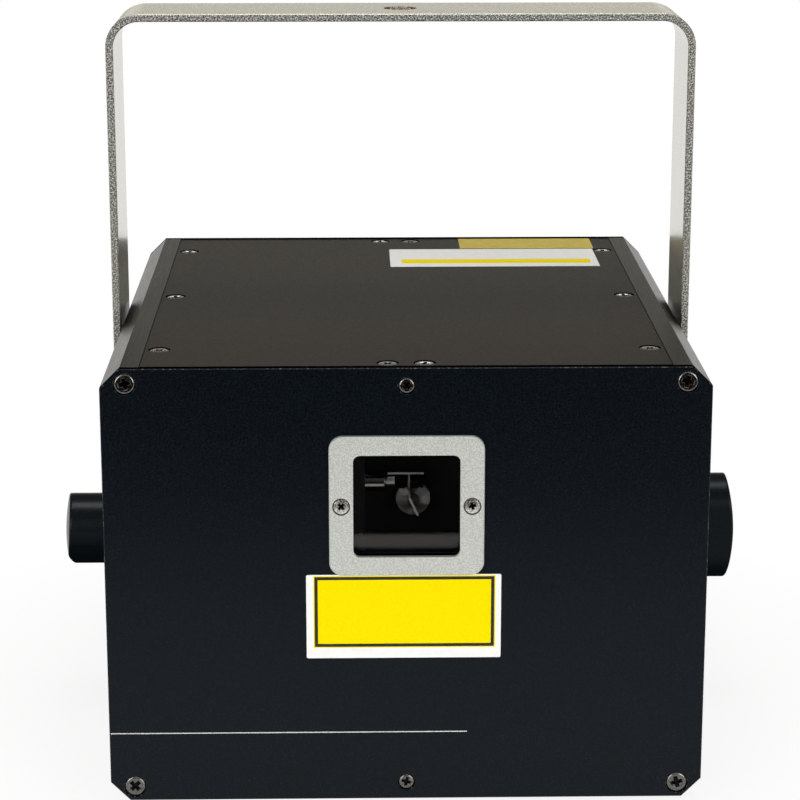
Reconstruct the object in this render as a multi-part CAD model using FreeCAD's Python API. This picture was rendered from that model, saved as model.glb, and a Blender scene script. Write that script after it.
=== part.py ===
"""Laser show projector: a chamfered aluminium case with a scanner window, hung in a swivelling bracket.

Millimetres. The origin is under the middle of the case, on the surface that the feet stand on.
+X is to the right seen from the front, +Y to the rear and +Z up. The beam leaves along -Y.
"""
import FreeCAD, Part
import math
import os

# Case
case_width = 220.0
case_height = 165.6
case_depth = 245.0
corner_chamfer = 7.2
plate_thickness = 3.0
wall_thickness = 4.0
strip_width = 6.8
ledge_width = 12.0
ledge_thickness = 4.0
corner_block_width = 16.0
corner_block_height = 13.0
cover_thickness = 2.0
cover_recess = 0.2
cover_side_gap = 0.2
cover_end_gap = 0.4
cover_front_gap = 1.4
base_thickness = 3.0
plate_edge_break = 0.3
plate_hole_break = 0.2

# Feet
foot_height = 4.7
foot_top_radius = 9.0
foot_tip_radius = 8.0
foot_side_inset = 34.0
foot_end_inset = 24.0
foot_screw_recess = 2.6

# Screws
m4_radius = 2.0
m4_head_radius = 3.8
sunk_head_height = 1.8
m3_radius = 1.5
lid_head_radius = 3.6
bezel_head_radius = 2.75
flush_dome_share = 0.1
flush_head_sink = 0.3
pan_head_radius = 2.9
pan_head_height = 1.9
pan_edge_share = 0.45
cross_span_share = 0.64
cross_width_share = 0.22
cross_floor_share = 0.5
cross_depth_share = 0.75
first_turn_deg = 45.0
next_turn_deg = 60.0
thread_clearance = 0.05
shank_clearance = 0.2
head_clearance = 0.2
head_sink = 0.3
plate_screw_inset = 9.0
plate_screw_rise = 5.6
middle_screw_rise = 6.6
plate_screw_grip = 10.0
plate_screw_tip_room = 1.0
cover_screw_inset = 5.5
cover_screw_pitch = 92.0
centre_screw_offset = 6.7
centre_screw_inset = 8.6
ledge_screw_grip = 4.0
centre_screw_grip = 7.0
centre_block_width = 24.0
centre_block_depth = 10.0
centre_block_height = 12.0

# Window
window_width = 38.8
window_height = 38.4
window_corner = 2.5
window_drop = 51.2
bezel_width = 56.3
bezel_height = 52.4
bezel_corner = 5.0
bezel_thickness = 2.0
bezel_edge_break = 0.3
bezel_screw_offset = 23.75
bezel_screw_grip = 3.0
glass_lap = 2.5
glass_thickness = 1.5
gasket_thickness = 0.5

# Bracket and knobs
pivot_rise = 67.9
bracket_width = 42.0
bracket_thickness = 3.0
bracket_reach = 212.8
bracket_inner_bend = 10.0
bracket_edge_break = 0.35
bracket_hole_radius = 6.5
friction_washer_radius = 14.0
friction_washer_thickness = 1.0
knob_washer_radius = 8.5
knob_washer_thickness = 1.5
stud_radius = 4.0
stud_running_gap = 0.08
stud_washer_gap = 0.3
stud_in_knob = 12.0
stud_inside_case = 5.0
insert_body_radius = 6.0
insert_flange_radius = 9.0
insert_flange_thickness = 2.0
insert_press_gap = 0.02
knob_length = 43.8
knob_width = 25.6
knob_side_height = 18.4
knob_dome = 3.3
knob_edge_round = 1.0
left_knob_turn_deg = -28.0
right_knob_turn_deg = 90.0

# Scanner
scan_depth = 22.5
scan_y_rise = 2.7
scan_x_drop = 6.1
scan_x_side = 3.0
scan_floor_drop = 19.7
x_mirror_width = 7.4
x_mirror_length = 10.0
x_mirror_turn_deg = 25.0
y_mirror_width = 11.0
y_mirror_length = 13.3
y_mirror_tilt_deg = -45.0
mirror_thickness = 0.8
holder_radius = 2.2
holder_length = 3.0
holder_lap = 2.6
holder_gap = 0.9
shaft_radius = 1.5
shaft_running_gap = 0.05
shaft_depth = 18.0
galvo_radius = 6.35
galvo_length_share = 0.187
galvo_nose_radius = 4.0
galvo_nose_length = 8.0
galvo_seat_gap = 0.03
block_floor_thickness = 10.0
block_left = 32.0
block_right = 24.0
block_front_gap = 4.0
block_upright_face = 15.1
block_upright_rise = 44.0
block_rear_rise = 30.0
block_rear_thickness = 12.0
block_rear_gap = 3.5

# Optics
optics_thickness = 6.0
optics_side_gap = 8.0
optics_rear_gap = 52.0
pillar_radius = 5.0
pillar_side_inset = 22.0
pillar_end_inset = 12.0
beam_side_gap = 36.0
laser_gap = 5.0
laser_pitch_share = 0.192
laser_length_share = 0.242
laser_height = 40.0
laser_nose_radius = 5.0
laser_nose_length = 5.0
laser_aperture_radius = 1.5
laser_aperture_depth = 8.0
laser_fin_depth = 6.0
laser_fin_gap = 2.5
laser_fin_count = 5
combiner_gap = 18.0
red_gap = 9.0
mount_radius = 6.0
mount_slot_depth = 3.0
mount_slot_gap = 0.05
optic_width = 14.0
optic_height = 17.0
optic_thickness = 2.0

# Boards and supply
supply_height = 40.0
supply_middle_gap = 6.0
supply_front_gap = 26.0
supply_rear_gap = 94.0
supply_terminal_length = 14.0
supply_terminal_height = 14.0
driver_middle_gap = 14.0
driver_side_gap = 4.0
driver_front_gap = 32.0
driver_rear_gap = 110.0
board_thickness = 1.6
standoff_radius = 3.0
standoff_inset = 5.0
driver_standoff = 8.0
heat_sink_width = 16.0
heat_sink_height = 26.0
board_gap = 26.0
board_side_gap = 12.0
board_socket_lap = 20.0
board_foot_gap = 20.0
board_middle_rise = 82.0
board_head_gap = 15.0

# Rear plate fittings
panel_gap = 0.2
fan_share = 16 / 33
fan_depth = 25.0
fan_rim = 2.0
fan_side_gap = 14.0
fan_head_gap = 17.0
fan_hole_inset = 4.25
fan_tip_gap = 1.0
fan_hub_share = 0.4
fan_blade_count = 7
fan_blade_chord_share = 0.58
fan_blade_thickness = 1.6
fan_blade_pitch_deg = 35.0
fan_spider_thickness = 3.0
fan_spider_arm = 6.0
fan_shaft_radius = 2.0
fan_shaft_gap = 0.05
fan_hub_end_gap = 1.0
fan_screw_grip = 12.0
guard_wire_radius = 0.8
guard_ring_count = 4
guard_rim_gap = 4.0
guard_eye_gap = 0.2
inlet_share = -0.53
inlet_rise = 29.0
inlet_flange_thickness = 2.0
inlet_flange_side_lap = 5.0
inlet_flange_end_lap = 2.5
inlet_side_wall = 1.8
inlet_end_wall = 2.3
inlet_web = 3.6
inlet_body_depth = 26.0
inlet_corner = 3.0
plug_width = 24.5
plug_height = 17.0
plug_depth = 17.0
plug_pin_length = 11.0
plug_pin_width = 4.0
plug_pin_thickness = 2.0
plug_pin_pitch = 7.0
rocker_width = 14.6
rocker_length = 20.4
rocker_end_height = 5.0
rocker_waist_height = 3.6
rocker_side_height = 1.0
rocker_foot_length = 8.0
rocker_foot_depth = 4.0
rocker_sink = 3.0
rocker_room = 0.7
rocker_pin_radius = 1.5
rocker_pin_length = 1.2
rocker_pin_gap = 0.05
rocker_rest_deg = -9.0
signal_rise = 29.0
signal_in_share = 0.07
signal_out_share = 0.4
signal_flange_width = 26.0
signal_flange_height = 31.0
signal_flange_thickness = 2.0
signal_flange_corner = 3.0
signal_body_radius = 11.0
signal_cup_radius = 9.3
signal_cup_depth = 18.0
signal_pin_radius = 1.2
signal_pin_length = 11.0
signal_pin_circle = 4.4
signal_hole_radius = 1.4
signal_hole_depth = 12.0
scan_socket_share = 0.36
scan_socket_rise = 60.0
scan_socket_width = 53.0
scan_socket_height = 12.5
scan_socket_thickness = 1.0
scan_shell_top = 39.0
scan_shell_bottom = 36.0
scan_shell_height = 8.4
scan_shell_depth = 4.5
scan_post_offset = 23.5
scan_post_radius = 2.4
scan_post_length = 4.0
scan_contact_count = 13
scan_contact_pitch = 2.77
scan_contact_row_gap = 2.84
scan_contact_radius = 0.5
scan_contact_depth = 3.5
lock_share = 0.78
lock_rise = 62.0
lock_ring_radius = 9.5
lock_ring_thickness = 3.0
lock_body_radius = 8.0
lock_body_depth = 24.0
lock_nut_radius = 11.0
lock_nut_thickness = 3.0
lock_plug_radius = 5.0
lock_plug_depth = 15.0
lock_plug_gap = 0.05
lock_end_gap = 0.3
key_slot_width = 2.0
key_slot_height = 7.0
key_slot_depth = 10.0
interlock_share = 0.78
interlock_rise = 29.0
interlock_body_radius = 4.0
interlock_nut_radius = 6.0
interlock_nut_thickness = 2.5
interlock_body_depth = 20.0
interlock_hole_radius = 1.8
interlock_hole_depth = 14.0
display_side_inset = 50.0
display_head_drop = 31.0
display_width = 52.0
display_height = 18.0
display_lip = 2.0
display_lip_thickness = 1.0
display_step = 0.3
button_head_drop = 54.0
button_pitch = 15.0
button_radius = 3.8
button_gap = 0.3
button_proud = 2.0
button_flange_lap = 1.2
button_flange_thickness = 1.0
button_stem_radius = 1.8
button_stem_length = 6.0
button_travel = 1.2
button_stop_room = 0.3
tact_switch_size = 6.0

# Places that follow from the sizes
half_width = case_width / 2
half_depth = case_depth / 2
case_bottom = foot_height
case_top = case_bottom + case_height
front_face = -half_depth
rear_face = half_depth
front_inner = front_face + plate_thickness
rear_inner = rear_face - plate_thickness
wall_inner = half_width - wall_thickness
strip_edge = half_width - corner_chamfer - strip_width
ledge_edge = strip_edge - ledge_width
cover_top = case_top - cover_recess
cover_under = cover_top - cover_thickness
base_top = case_bottom + base_thickness
pivot_height = case_bottom + pivot_rise
window_height_place = case_top - window_drop
bracket_inner = half_width + friction_washer_thickness
bracket_outer = bracket_inner + bracket_thickness
knob_base = bracket_outer + knob_washer_thickness
scan_place = front_face + scan_depth
scan_y_height = window_height_place + scan_y_rise
beam_height = window_height_place - scan_x_drop
block_floor = window_height_place - scan_floor_drop
optics_top = block_floor - block_floor_thickness
optics_bottom = optics_top - optics_thickness
optics_front = front_inner + block_front_gap
board_face = rear_inner - board_gap
optics_rear = rear_inner - optics_rear_gap
optics_length = optics_rear - optics_front
optics_half = wall_inner - optics_side_gap
beam_offset = optics_half - beam_side_gap
galvo_length = galvo_length_share * optics_length
laser_pitch = laser_pitch_share * optics_length
laser_width = laser_pitch - laser_gap
laser_length = laser_length_share * optics_length
fan_size = fan_share * case_height
fan_bore_radius = fan_size / 2 - fan_rim
fan_hub_radius = fan_hub_share * fan_bore_radius
fan_blade_chord = fan_blade_chord_share * fan_bore_radius
fan_hole_pitch = fan_size - 2 * fan_hole_inset
guard_ring_pitch = (fan_bore_radius - guard_rim_gap) / guard_ring_count
rocker_pocket_width = rocker_width + 2 * rocker_room
rocker_tip_swing = rocker_end_height * math.sin(math.radians(-rocker_rest_deg))
rocker_pocket_length = rocker_length + 2 * (rocker_tip_swing + rocker_room)
inlet_body_width = plug_width + rocker_pocket_width + 2 * inlet_side_wall + inlet_web
inlet_body_height = rocker_pocket_length + 2 * inlet_end_wall
inlet_flange_width = inlet_body_width + 2 * inlet_flange_side_lap
inlet_flange_height = inlet_body_height + 2 * inlet_flange_end_lap

FORWARD = (0, -1, 0)
BACKWARD = (0, 1, 0)
UP = (0, 0, 1)
DOWN = (0, 0, -1)


def vector(point):
    return FreeCAD.Vector(*point)


def block(x_span, y_span, z_span):
    """A box between two places on each axis."""
    low = FreeCAD.Vector(x_span[0], y_span[0], z_span[0])
    return Part.makeBox(x_span[1] - x_span[0], y_span[1] - y_span[0], z_span[1] - z_span[0], low)


def rod(start, direction, radius, length):
    """A round rod from a point along a direction."""
    return Part.makeCylinder(radius, length, vector(start), vector(direction))


def prism(points, sweep):
    """A closed outline of points swept along a vector."""
    corners = [vector(point) for point in points]
    return Part.Face(Part.makePolygon(corners + corners[:1])).extrude(vector(sweep))


def round_edges_along_y(solid, radius):
    """The solid with its edges along Y rounded."""
    edges = [edge for edge in solid.Edges if abs(edge.tangentAt(edge.FirstParameter).y) > 0.999]
    return solid.makeFillet(radius, edges)


def panel(centre, size, corner, y_span):
    """An upright slab facing Y, with rounded corners. Centre and size are in X and Z."""
    x_span = (centre[0] - size[0] / 2, centre[0] + size[0] / 2)
    z_span = (centre[1] - size[1] / 2, centre[1] + size[1] / 2)
    return round_edges_along_y(block(x_span, y_span, z_span), corner)


def edges_on_plane(solid, axis, place):
    """The edges that lie wholly on the plane where one coordinate has a given value."""
    near = 1e-6
    found = []
    for edge in solid.Edges:
        box = edge.BoundBox
        low, high = ((box.XMin, box.XMax), (box.YMin, box.YMax), (box.ZMin, box.ZMax))[axis]
        if abs(low - place) < near and abs(high - place) < near:
            found.append(edge)
    return found


def aim(solid, origin, outward):
    """A copy whose own +Z is turned to the outward direction and whose origin is moved to a point."""
    copy = solid.copy()
    turn = FreeCAD.Rotation(FreeCAD.Vector(0, 0, 1), vector(outward))
    copy.Placement = FreeCAD.Placement(vector(origin), turn).multiply(copy.Placement)
    return copy


def turned(solid, centre, axis, degrees):
    """A copy turned about a line."""
    copy = solid.copy()
    copy.rotate(vector(centre), vector(axis), degrees)
    return copy


def shifted(solid, step):
    """A copy moved by a step."""
    copy = solid.copy()
    copy.translate(vector(step))
    return copy


def joined(solids):
    """One solid made from overlapping or touching solids."""
    whole = solids[0]
    if len(solids) > 1:
        whole = whole.multiFuse(solids[1:])
    return whole.removeSplitter()


def cut(solid, tools):
    """The solid with every tool taken out of it."""
    if not tools:
        return solid
    return solid.cut(tools)


def group(solids):
    """Several separate solids kept together."""
    return Part.makeCompound(solids)


def cross_recess(head_radius, depth):
    """A cross-shaped driver recess that opens at the origin's level and narrows to its floor."""
    rings = []
    for share, z in ((cross_floor_share, -depth), (1.0, 0.0)):
        reach = share * cross_span_share * head_radius
        half = share * cross_width_share * head_radius
        corners = [(-reach, -half, z), (reach, -half, z), (reach, half, z), (-reach, half, z), (-reach, -half, z)]
        rings.append(Part.makePolygon([vector(c) for c in corners]))
    bar = Part.makeLoft(rings, True, True)
    return bar.fuse(turned(bar, (0, 0, 0), UP, 90))


def pan_screw(shank_radius, head_radius, head_height, length):
    """A screw with its head's underside at the origin, its head up and its shank down."""
    head = Part.makeCylinder(head_radius, head_height)
    head = head.makeFillet(pan_edge_share * head_height, edges_on_plane(head, 2, head_height))
    shank = rod((0, 0, 0), DOWN, shank_radius, length)
    recess = shifted(cross_recess(head_radius, cross_depth_share * head_height), (0, 0, head_height))
    return cut(joined([head, shank]), [recess])


def flush_screw(shank_radius, head_radius, length):
    """A countersunk screw with a low dome on its head, whose rim is sunk a little below the origin's level."""
    cone_height = head_radius - shank_radius
    dome = flush_dome_share * head_radius
    ball_radius = (head_radius ** 2 + dome ** 2) / (2 * dome)
    ball = Part.makeSphere(ball_radius, FreeCAD.Vector(0, 0, dome - ball_radius))
    cap = ball.common(Part.makeCylinder(head_radius, dome))
    cone = Part.makeCone(shank_radius, head_radius, cone_height, FreeCAD.Vector(0, 0, -cone_height))
    shank = rod((0, 0, -cone_height), DOWN, shank_radius, length - cone_height - flush_head_sink)
    recess = shifted(cross_recess(head_radius, cross_depth_share * cone_height + dome), (0, 0, dome))
    return shifted(cut(joined([cone, shank, cap]), [recess]), (0, 0, -flush_head_sink))


def driven(screw, number):
    """A copy of a screw turned about its own axis: every screw of a set stops at another angle."""
    return turned(screw, (0, 0, 0), UP, first_turn_deg + number * next_turn_deg)


def flush_hole(shank_radius, head_radius, length):
    """The countersunk hole that clears a flush screw of the same sizes."""
    height = head_radius - shank_radius + flush_head_sink
    radius = shank_radius + shank_clearance
    cone = Part.makeCone(radius, radius + height, height, FreeCAD.Vector(0, 0, -height))
    return cone.fuse(rod((0, 0, 0), DOWN, radius, length))


def thread_hole(shank_radius, length):
    """The hole that a screw's shank is driven into, down from the origin."""
    return rod((0, 0, 0), DOWN, shank_radius + thread_clearance, length)


# Screw places, shared by the pieces they pass through
plate_screw_side = half_width - plate_screw_inset
plate_screw_rows = (case_bottom + plate_screw_rise, case_top - plate_screw_rise)
middle_screw_rows = (case_bottom + middle_screw_rise, case_top - middle_screw_rise)
plate_screw_columns = ((-plate_screw_side, plate_screw_rows), (0.0, middle_screw_rows),
                       (plate_screw_side, plate_screw_rows))
plate_screw_places = [(x, z) for x, rows in plate_screw_columns for z in rows]
corner_screw = (m4_radius, m4_head_radius)
middle_screw = (m3_radius, pan_head_radius)
plate_recess_depth = sunk_head_height + head_sink
plate_screw_length = plate_thickness - plate_recess_depth + plate_screw_grip
cover_screw_side = strip_edge - cover_screw_inset
ledge_screw_places = [(x, y) for x in (-cover_screw_side, cover_screw_side)
                      for y in (-cover_screw_pitch, 0.0, cover_screw_pitch)]
centre_screw_end = half_depth - centre_screw_inset
centre_screw_places = [(x, y) for x in (-centre_screw_offset, centre_screw_offset)
                       for y in (-centre_screw_end, centre_screw_end)]
foot_places = [(x, y) for x in (foot_side_inset - half_width, half_width - foot_side_inset)
               for y in (foot_end_inset - half_depth, half_depth - foot_end_inset)]
fan_place = (fan_side_gap + wall_thickness + fan_size / 2 - half_width, case_top - fan_head_gap - fan_size / 2)
fan_screw_places = [(fan_place[0] + x, fan_place[1] + z) for x in (-fan_hole_pitch / 2, fan_hole_pitch / 2)
                    for z in (-fan_hole_pitch / 2, fan_hole_pitch / 2)]
button_places = [(half_width - display_side_inset + (i - 1.5) * button_pitch, case_top - button_head_drop)
                 for i in range(4)]
inlet_place = (inlet_share * half_width, case_bottom + inlet_rise)
signal_in_place = (signal_in_share * half_width, case_bottom + signal_rise)
signal_out_place = (signal_out_share * half_width, case_bottom + signal_rise)
scan_socket_place = (scan_socket_share * half_width, case_bottom + scan_socket_rise)
lock_place = (lock_share * half_width, case_bottom + lock_rise)
interlock_place = (interlock_share * half_width, case_bottom + interlock_rise)
display_place = (half_width - display_side_inset, case_top - display_head_drop)


def plate_screw_sizes(x):
    """Shank and head radius of an end plate's screw: the middle ones are smaller than those at the corners."""
    return middle_screw if x == 0 else corner_screw


def end_plate(face, outward):
    """An octagonal end plate with six sunk screw holes. Outward is -1 for the front and 1 for the rear."""
    low = case_bottom
    high = case_top
    c = corner_chamfer
    w = half_width
    outline = [(-w, low + c), (-w + c, low), (w - c, low), (w, low + c),
               (w, high - c), (w - c, high), (-w + c, high), (-w, high - c)]
    plate = prism([(x, face, z) for x, z in outline], (0, -outward * plate_thickness, 0))
    plate = plate.makeChamfer(plate_edge_break, edges_on_plane(plate, 1, face))
    holes = []
    for x, z in plate_screw_places:
        shank_radius, head_radius = plate_screw_sizes(x)
        start = (x, face, z)
        inward = (0, -outward, 0)
        recess_radius = head_radius + head_clearance
        holes.append(rod(start, inward, recess_radius, plate_recess_depth))
        holes.append(rod(start, inward, shank_radius + shank_clearance, plate_thickness))
        holes.append(Part.makeCone(recess_radius + plate_hole_break, recess_radius, plate_hole_break, vector(start),
                                   vector(inward)))
    return cut(plate, holes)


def front_plate():
    """The front plate, open behind the window and threaded for the bezel's screws."""
    span = (front_face, front_inner)
    opening = panel((0, window_height_place), (window_width, window_height), window_corner, span)
    holes = [aim(thread_hole(m3_radius, plate_thickness), (x, front_face, window_height_place), FORWARD)
             for x in (-bezel_screw_offset, bezel_screw_offset)]
    return cut(end_plate(front_face, -1), [opening] + holes)


def rear_plate():
    """The rear plate with a cut-out for each fitting."""
    span = (rear_inner, rear_face)
    start = rear_inner
    gap = panel_gap
    holes = [rod((fan_place[0], start, fan_place[1]), BACKWARD, fan_bore_radius, plate_thickness)]
    for x, z in fan_screw_places:
        holes.append(rod((x, start, z), BACKWARD, m4_radius + shank_clearance, plate_thickness))
    body = (inlet_body_width + 2 * gap, inlet_body_height + 2 * gap)
    holes.append(panel(inlet_place, body, inlet_corner, span))
    for x, z in (signal_in_place, signal_out_place):
        holes.append(rod((x, start, z), BACKWARD, signal_body_radius + gap, plate_thickness))
    shell = (scan_shell_top + 2 * gap, scan_shell_height + 2 * gap)
    holes.append(panel(scan_socket_place, shell, gap, span))
    x, z = lock_place
    holes.append(rod((x, start, z), BACKWARD, lock_body_radius + gap, plate_thickness))
    x, z = interlock_place
    holes.append(rod((x, start, z), BACKWARD, interlock_body_radius + gap, plate_thickness))
    lens = (display_width + 2 * gap, display_height + 2 * gap)
    holes.append(panel(display_place, lens, gap, span))
    for x, z in button_places:
        holes.append(rod((x, start, z), BACKWARD, button_radius + button_gap, plate_thickness))
    return cut(end_plate(rear_face, 1), holes)


def side_profile(side):
    """An extruded side wall with chamfered corners, screw blocks and ledges for the cover and the bottom plate."""
    block_edge = half_width - corner_block_width
    low_block = case_bottom + corner_block_height
    high_block = case_top - corner_block_height
    outline = [(half_width, case_bottom + corner_chamfer), (half_width, case_top - corner_chamfer),
               (half_width - corner_chamfer, case_top), (strip_edge, case_top), (strip_edge, cover_under),
               (ledge_edge, cover_under), (ledge_edge, cover_under - ledge_thickness),
               (block_edge, cover_under - ledge_thickness), (block_edge, high_block),
               (wall_inner, high_block), (wall_inner, low_block), (block_edge, low_block),
               (block_edge, base_top + ledge_thickness), (ledge_edge, base_top + ledge_thickness),
               (ledge_edge, base_top), (strip_edge, base_top), (strip_edge, case_bottom),
               (half_width - corner_chamfer, case_bottom)]
    profile = prism([(side * x, front_inner, z) for x, z in outline], (0, rear_inner - front_inner, 0))
    depth = plate_screw_grip + plate_screw_tip_room
    holes = []
    for z in plate_screw_rows:
        x = side * plate_screw_side
        holes.append(aim(thread_hole(m4_radius, depth), (x, front_inner, z), FORWARD))
        holes.append(aim(thread_hole(m4_radius, depth), (x, rear_inner, z), BACKWARD))
    for x, y in ledge_screw_places:
        if x * side > 0:
            holes.append(aim(thread_hole(m4_radius, ledge_thickness), (x, y, cover_under), UP))
            holes.append(aim(thread_hole(m4_radius, ledge_thickness), (x, y, base_top), DOWN))
    radius = insert_body_radius + insert_press_gap
    holes.append(rod((side * wall_inner, 0, pivot_height), (side, 0, 0), radius, wall_thickness))
    return cut(profile, holes)


def lid(under, top, screw_top, outward, front_gap):
    """A flat plate let in between the side profiles, with countersunk screw holes from outside."""
    x = strip_edge - cover_side_gap
    plate = block((-x, x), (front_inner + front_gap, rear_inner - cover_end_gap), (under, top))
    tool = flush_hole(m4_radius, lid_head_radius, top - under)
    holes = [aim(tool, (x, y, screw_top), outward) for x, y in ledge_screw_places + centre_screw_places]
    return cut(plate, holes)


def top_cover():
    """The cover, which leaves a shadow line behind the front plate."""
    return lid(cover_under, cover_top, cover_top, UP, cover_front_gap)


def bottom_plate():
    """The bottom plate, also threaded for the feet's screws."""
    plate = lid(case_bottom, base_top, case_bottom, DOWN, cover_end_gap)
    holes = [aim(thread_hole(m3_radius, base_thickness), (x, y, case_bottom), DOWN) for x, y in foot_places]
    return cut(plate, holes)


def centre_blocks():
    """Four blocks at mid width that tie the end plates to the cover and the bottom plate."""
    half = centre_block_width / 2
    depth = plate_screw_grip + plate_screw_tip_room
    blocks = []
    for inner, outward in ((front_inner, -1), (rear_inner, 1)):
        y_span = sorted((inner, inner - outward * centre_block_depth))
        for z_span, seat, screw_row, facing in (
                ((cover_under - centre_block_height, cover_under), cover_under, middle_screw_rows[1], UP),
                ((base_top, base_top + centre_block_height), base_top, middle_screw_rows[0], DOWN)):
            solid = block((-half, half), y_span, z_span)
            holes = [aim(thread_hole(m3_radius, depth), (0, inner, screw_row), (0, outward, 0))]
            for x, y in centre_screw_places:
                if y * outward > 0:
                    holes.append(aim(thread_hole(m4_radius, centre_block_height), (x, y, seat), facing))
            blocks.append(cut(solid, holes))
    return group(blocks)


def plate_screws(face, outward):
    """The six screws of an end plate, with their heads sunk in it."""
    seat = face - outward * plate_recess_depth
    screws = []
    for number, (x, z) in enumerate(plate_screw_places):
        shank_radius, head_radius = plate_screw_sizes(x)
        screw = pan_screw(shank_radius, head_radius, sunk_head_height, plate_screw_length)
        screws.append(aim(driven(screw, number), (x, seat, z), (0, outward, 0)))
    return group(screws)


def lid_screws(thickness, level, outward):
    """Countersunk screws of a cover: short ones in the ledges, longer ones in the centre blocks."""
    short = flush_screw(m4_radius, lid_head_radius, thickness + ledge_screw_grip)
    long = flush_screw(m4_radius, lid_head_radius, thickness + centre_screw_grip)
    screws = [aim(driven(short, i), (x, y, level), outward) for i, (x, y) in enumerate(ledge_screw_places)]
    screws += [aim(driven(long, i), (x, y, level), outward) for i, (x, y) in enumerate(centre_screw_places)]
    return group(screws)


def window_bezel():
    """A flat frame round the window, screwed to the front plate."""
    centre = (0, window_height_place)
    outer_face = front_face - bezel_thickness
    frame = panel(centre, (bezel_width, bezel_height), bezel_corner, (outer_face, front_face))
    frame = frame.makeChamfer(bezel_edge_break, edges_on_plane(frame, 1, outer_face))
    opening = panel(centre, (window_width, window_height), window_corner, (outer_face, front_face))
    tool = flush_hole(m3_radius, bezel_head_radius, bezel_thickness)
    holes = [aim(tool, (x, outer_face, window_height_place), FORWARD)
             for x in (-bezel_screw_offset, bezel_screw_offset)]
    return cut(frame, [opening] + holes)


def window_glass():
    """The pane behind the front plate's opening."""
    size = (window_width + 2 * glass_lap, window_height + 2 * glass_lap)
    front = front_inner + gasket_thickness
    return panel((0, window_height_place), size, window_corner, (front, front + glass_thickness))


def window_gasket():
    """A thin sticky frame that holds the glass to the back of the front plate."""
    centre = (0, window_height_place)
    span = (front_inner, front_inner + gasket_thickness)
    outer = panel(centre, (window_width + 2 * glass_lap, window_height + 2 * glass_lap), window_corner, span)
    return cut(outer, [panel(centre, (window_width, window_height), window_corner, span)])


def bezel_screws():
    screw = flush_screw(m3_radius, bezel_head_radius, bezel_thickness + bezel_screw_grip)
    start = front_face - bezel_thickness
    return group([aim(driven(screw, i), (x, start, window_height_place), FORWARD)
                  for i, x in enumerate((-bezel_screw_offset, bezel_screw_offset))])


def rubber_feet():
    """Four tapered feet, each with a sunk hole for its screw."""
    tools = [rod((0, 0, 0), UP, pan_head_radius + head_clearance, foot_screw_recess),
             rod((0, 0, 0), UP, m3_radius + shank_clearance, foot_height)]
    foot = cut(Part.makeCone(foot_tip_radius, foot_top_radius, foot_height), tools)
    return group([shifted(foot, (x, y, 0)) for x, y in foot_places])


def foot_screws():
    length = foot_height - foot_screw_recess + base_thickness
    screw = pan_screw(m3_radius, pan_head_radius, pan_head_height, length)
    return group([aim(driven(screw, i), (x, y, foot_screw_recess), DOWN)
                  for i, (x, y) in enumerate(foot_places)])


def mounting_bracket():
    """A flat strip bent into a U, with rounded arm ends on the pivots."""
    half = bracket_width / 2
    top = pivot_height + bracket_reach
    y_span = (-half, half)
    outer = block((-bracket_outer, bracket_outer), y_span, (pivot_height, top))
    crown = [edge for edge in edges_on_plane(outer, 2, top) if edge.BoundBox.YLength > half]
    outer = outer.makeFillet(bracket_inner_bend + bracket_thickness, crown)
    inner_top = top - bracket_thickness
    inner = block((-bracket_inner, bracket_inner), y_span, (pivot_height - half, inner_top))
    crown = [edge for edge in edges_on_plane(inner, 2, inner_top) if edge.BoundBox.YLength > half]
    inner = inner.makeFillet(bracket_inner_bend, crown)
    ends = [rod((x, 0, pivot_height), (1, 0, 0), half, bracket_thickness)
            for x in (-bracket_outer, bracket_inner)]
    strip = joined([outer.cut(inner)] + ends)
    rims = edges_on_plane(strip, 1, -half) + edges_on_plane(strip, 1, half)
    strip = strip.makeChamfer(bracket_edge_break, rims)
    holes = [rod((0, 0, inner_top), UP, bracket_hole_radius, bracket_thickness),
             rod((-bracket_outer, 0, pivot_height), (1, 0, 0), stud_radius + stud_running_gap, 2 * bracket_outer)]
    return cut(strip, holes)


def washers(start, radius, thickness):
    """A pair of washers round the studs, from the same distance to the left and the right."""
    pair = []
    for side in (-1, 1):
        centre = (side * start, 0, pivot_height)
        disc = rod(centre, (side, 0, 0), radius, thickness)
        pair.append(cut(disc, [rod(centre, (side, 0, 0), stud_radius + stud_washer_gap, thickness)]))
    return group(pair)


def pivot_inserts():
    """Flanged bushes pressed into the side walls from inside, which the studs screw into."""
    pair = []
    for side in (-1, 1):
        start = (side * (wall_inner - insert_flange_thickness), 0, pivot_height)
        flange = rod(start, (side, 0, 0), insert_flange_radius, insert_flange_thickness)
        body = rod(start, (side, 0, 0), insert_body_radius, insert_flange_thickness + wall_thickness)
        bore = rod(start, (side, 0, 0), stud_radius + stud_running_gap, insert_flange_thickness + wall_thickness)
        pair.append(cut(joined([flange, body]), [bore]))
    return group(pair)


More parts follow.
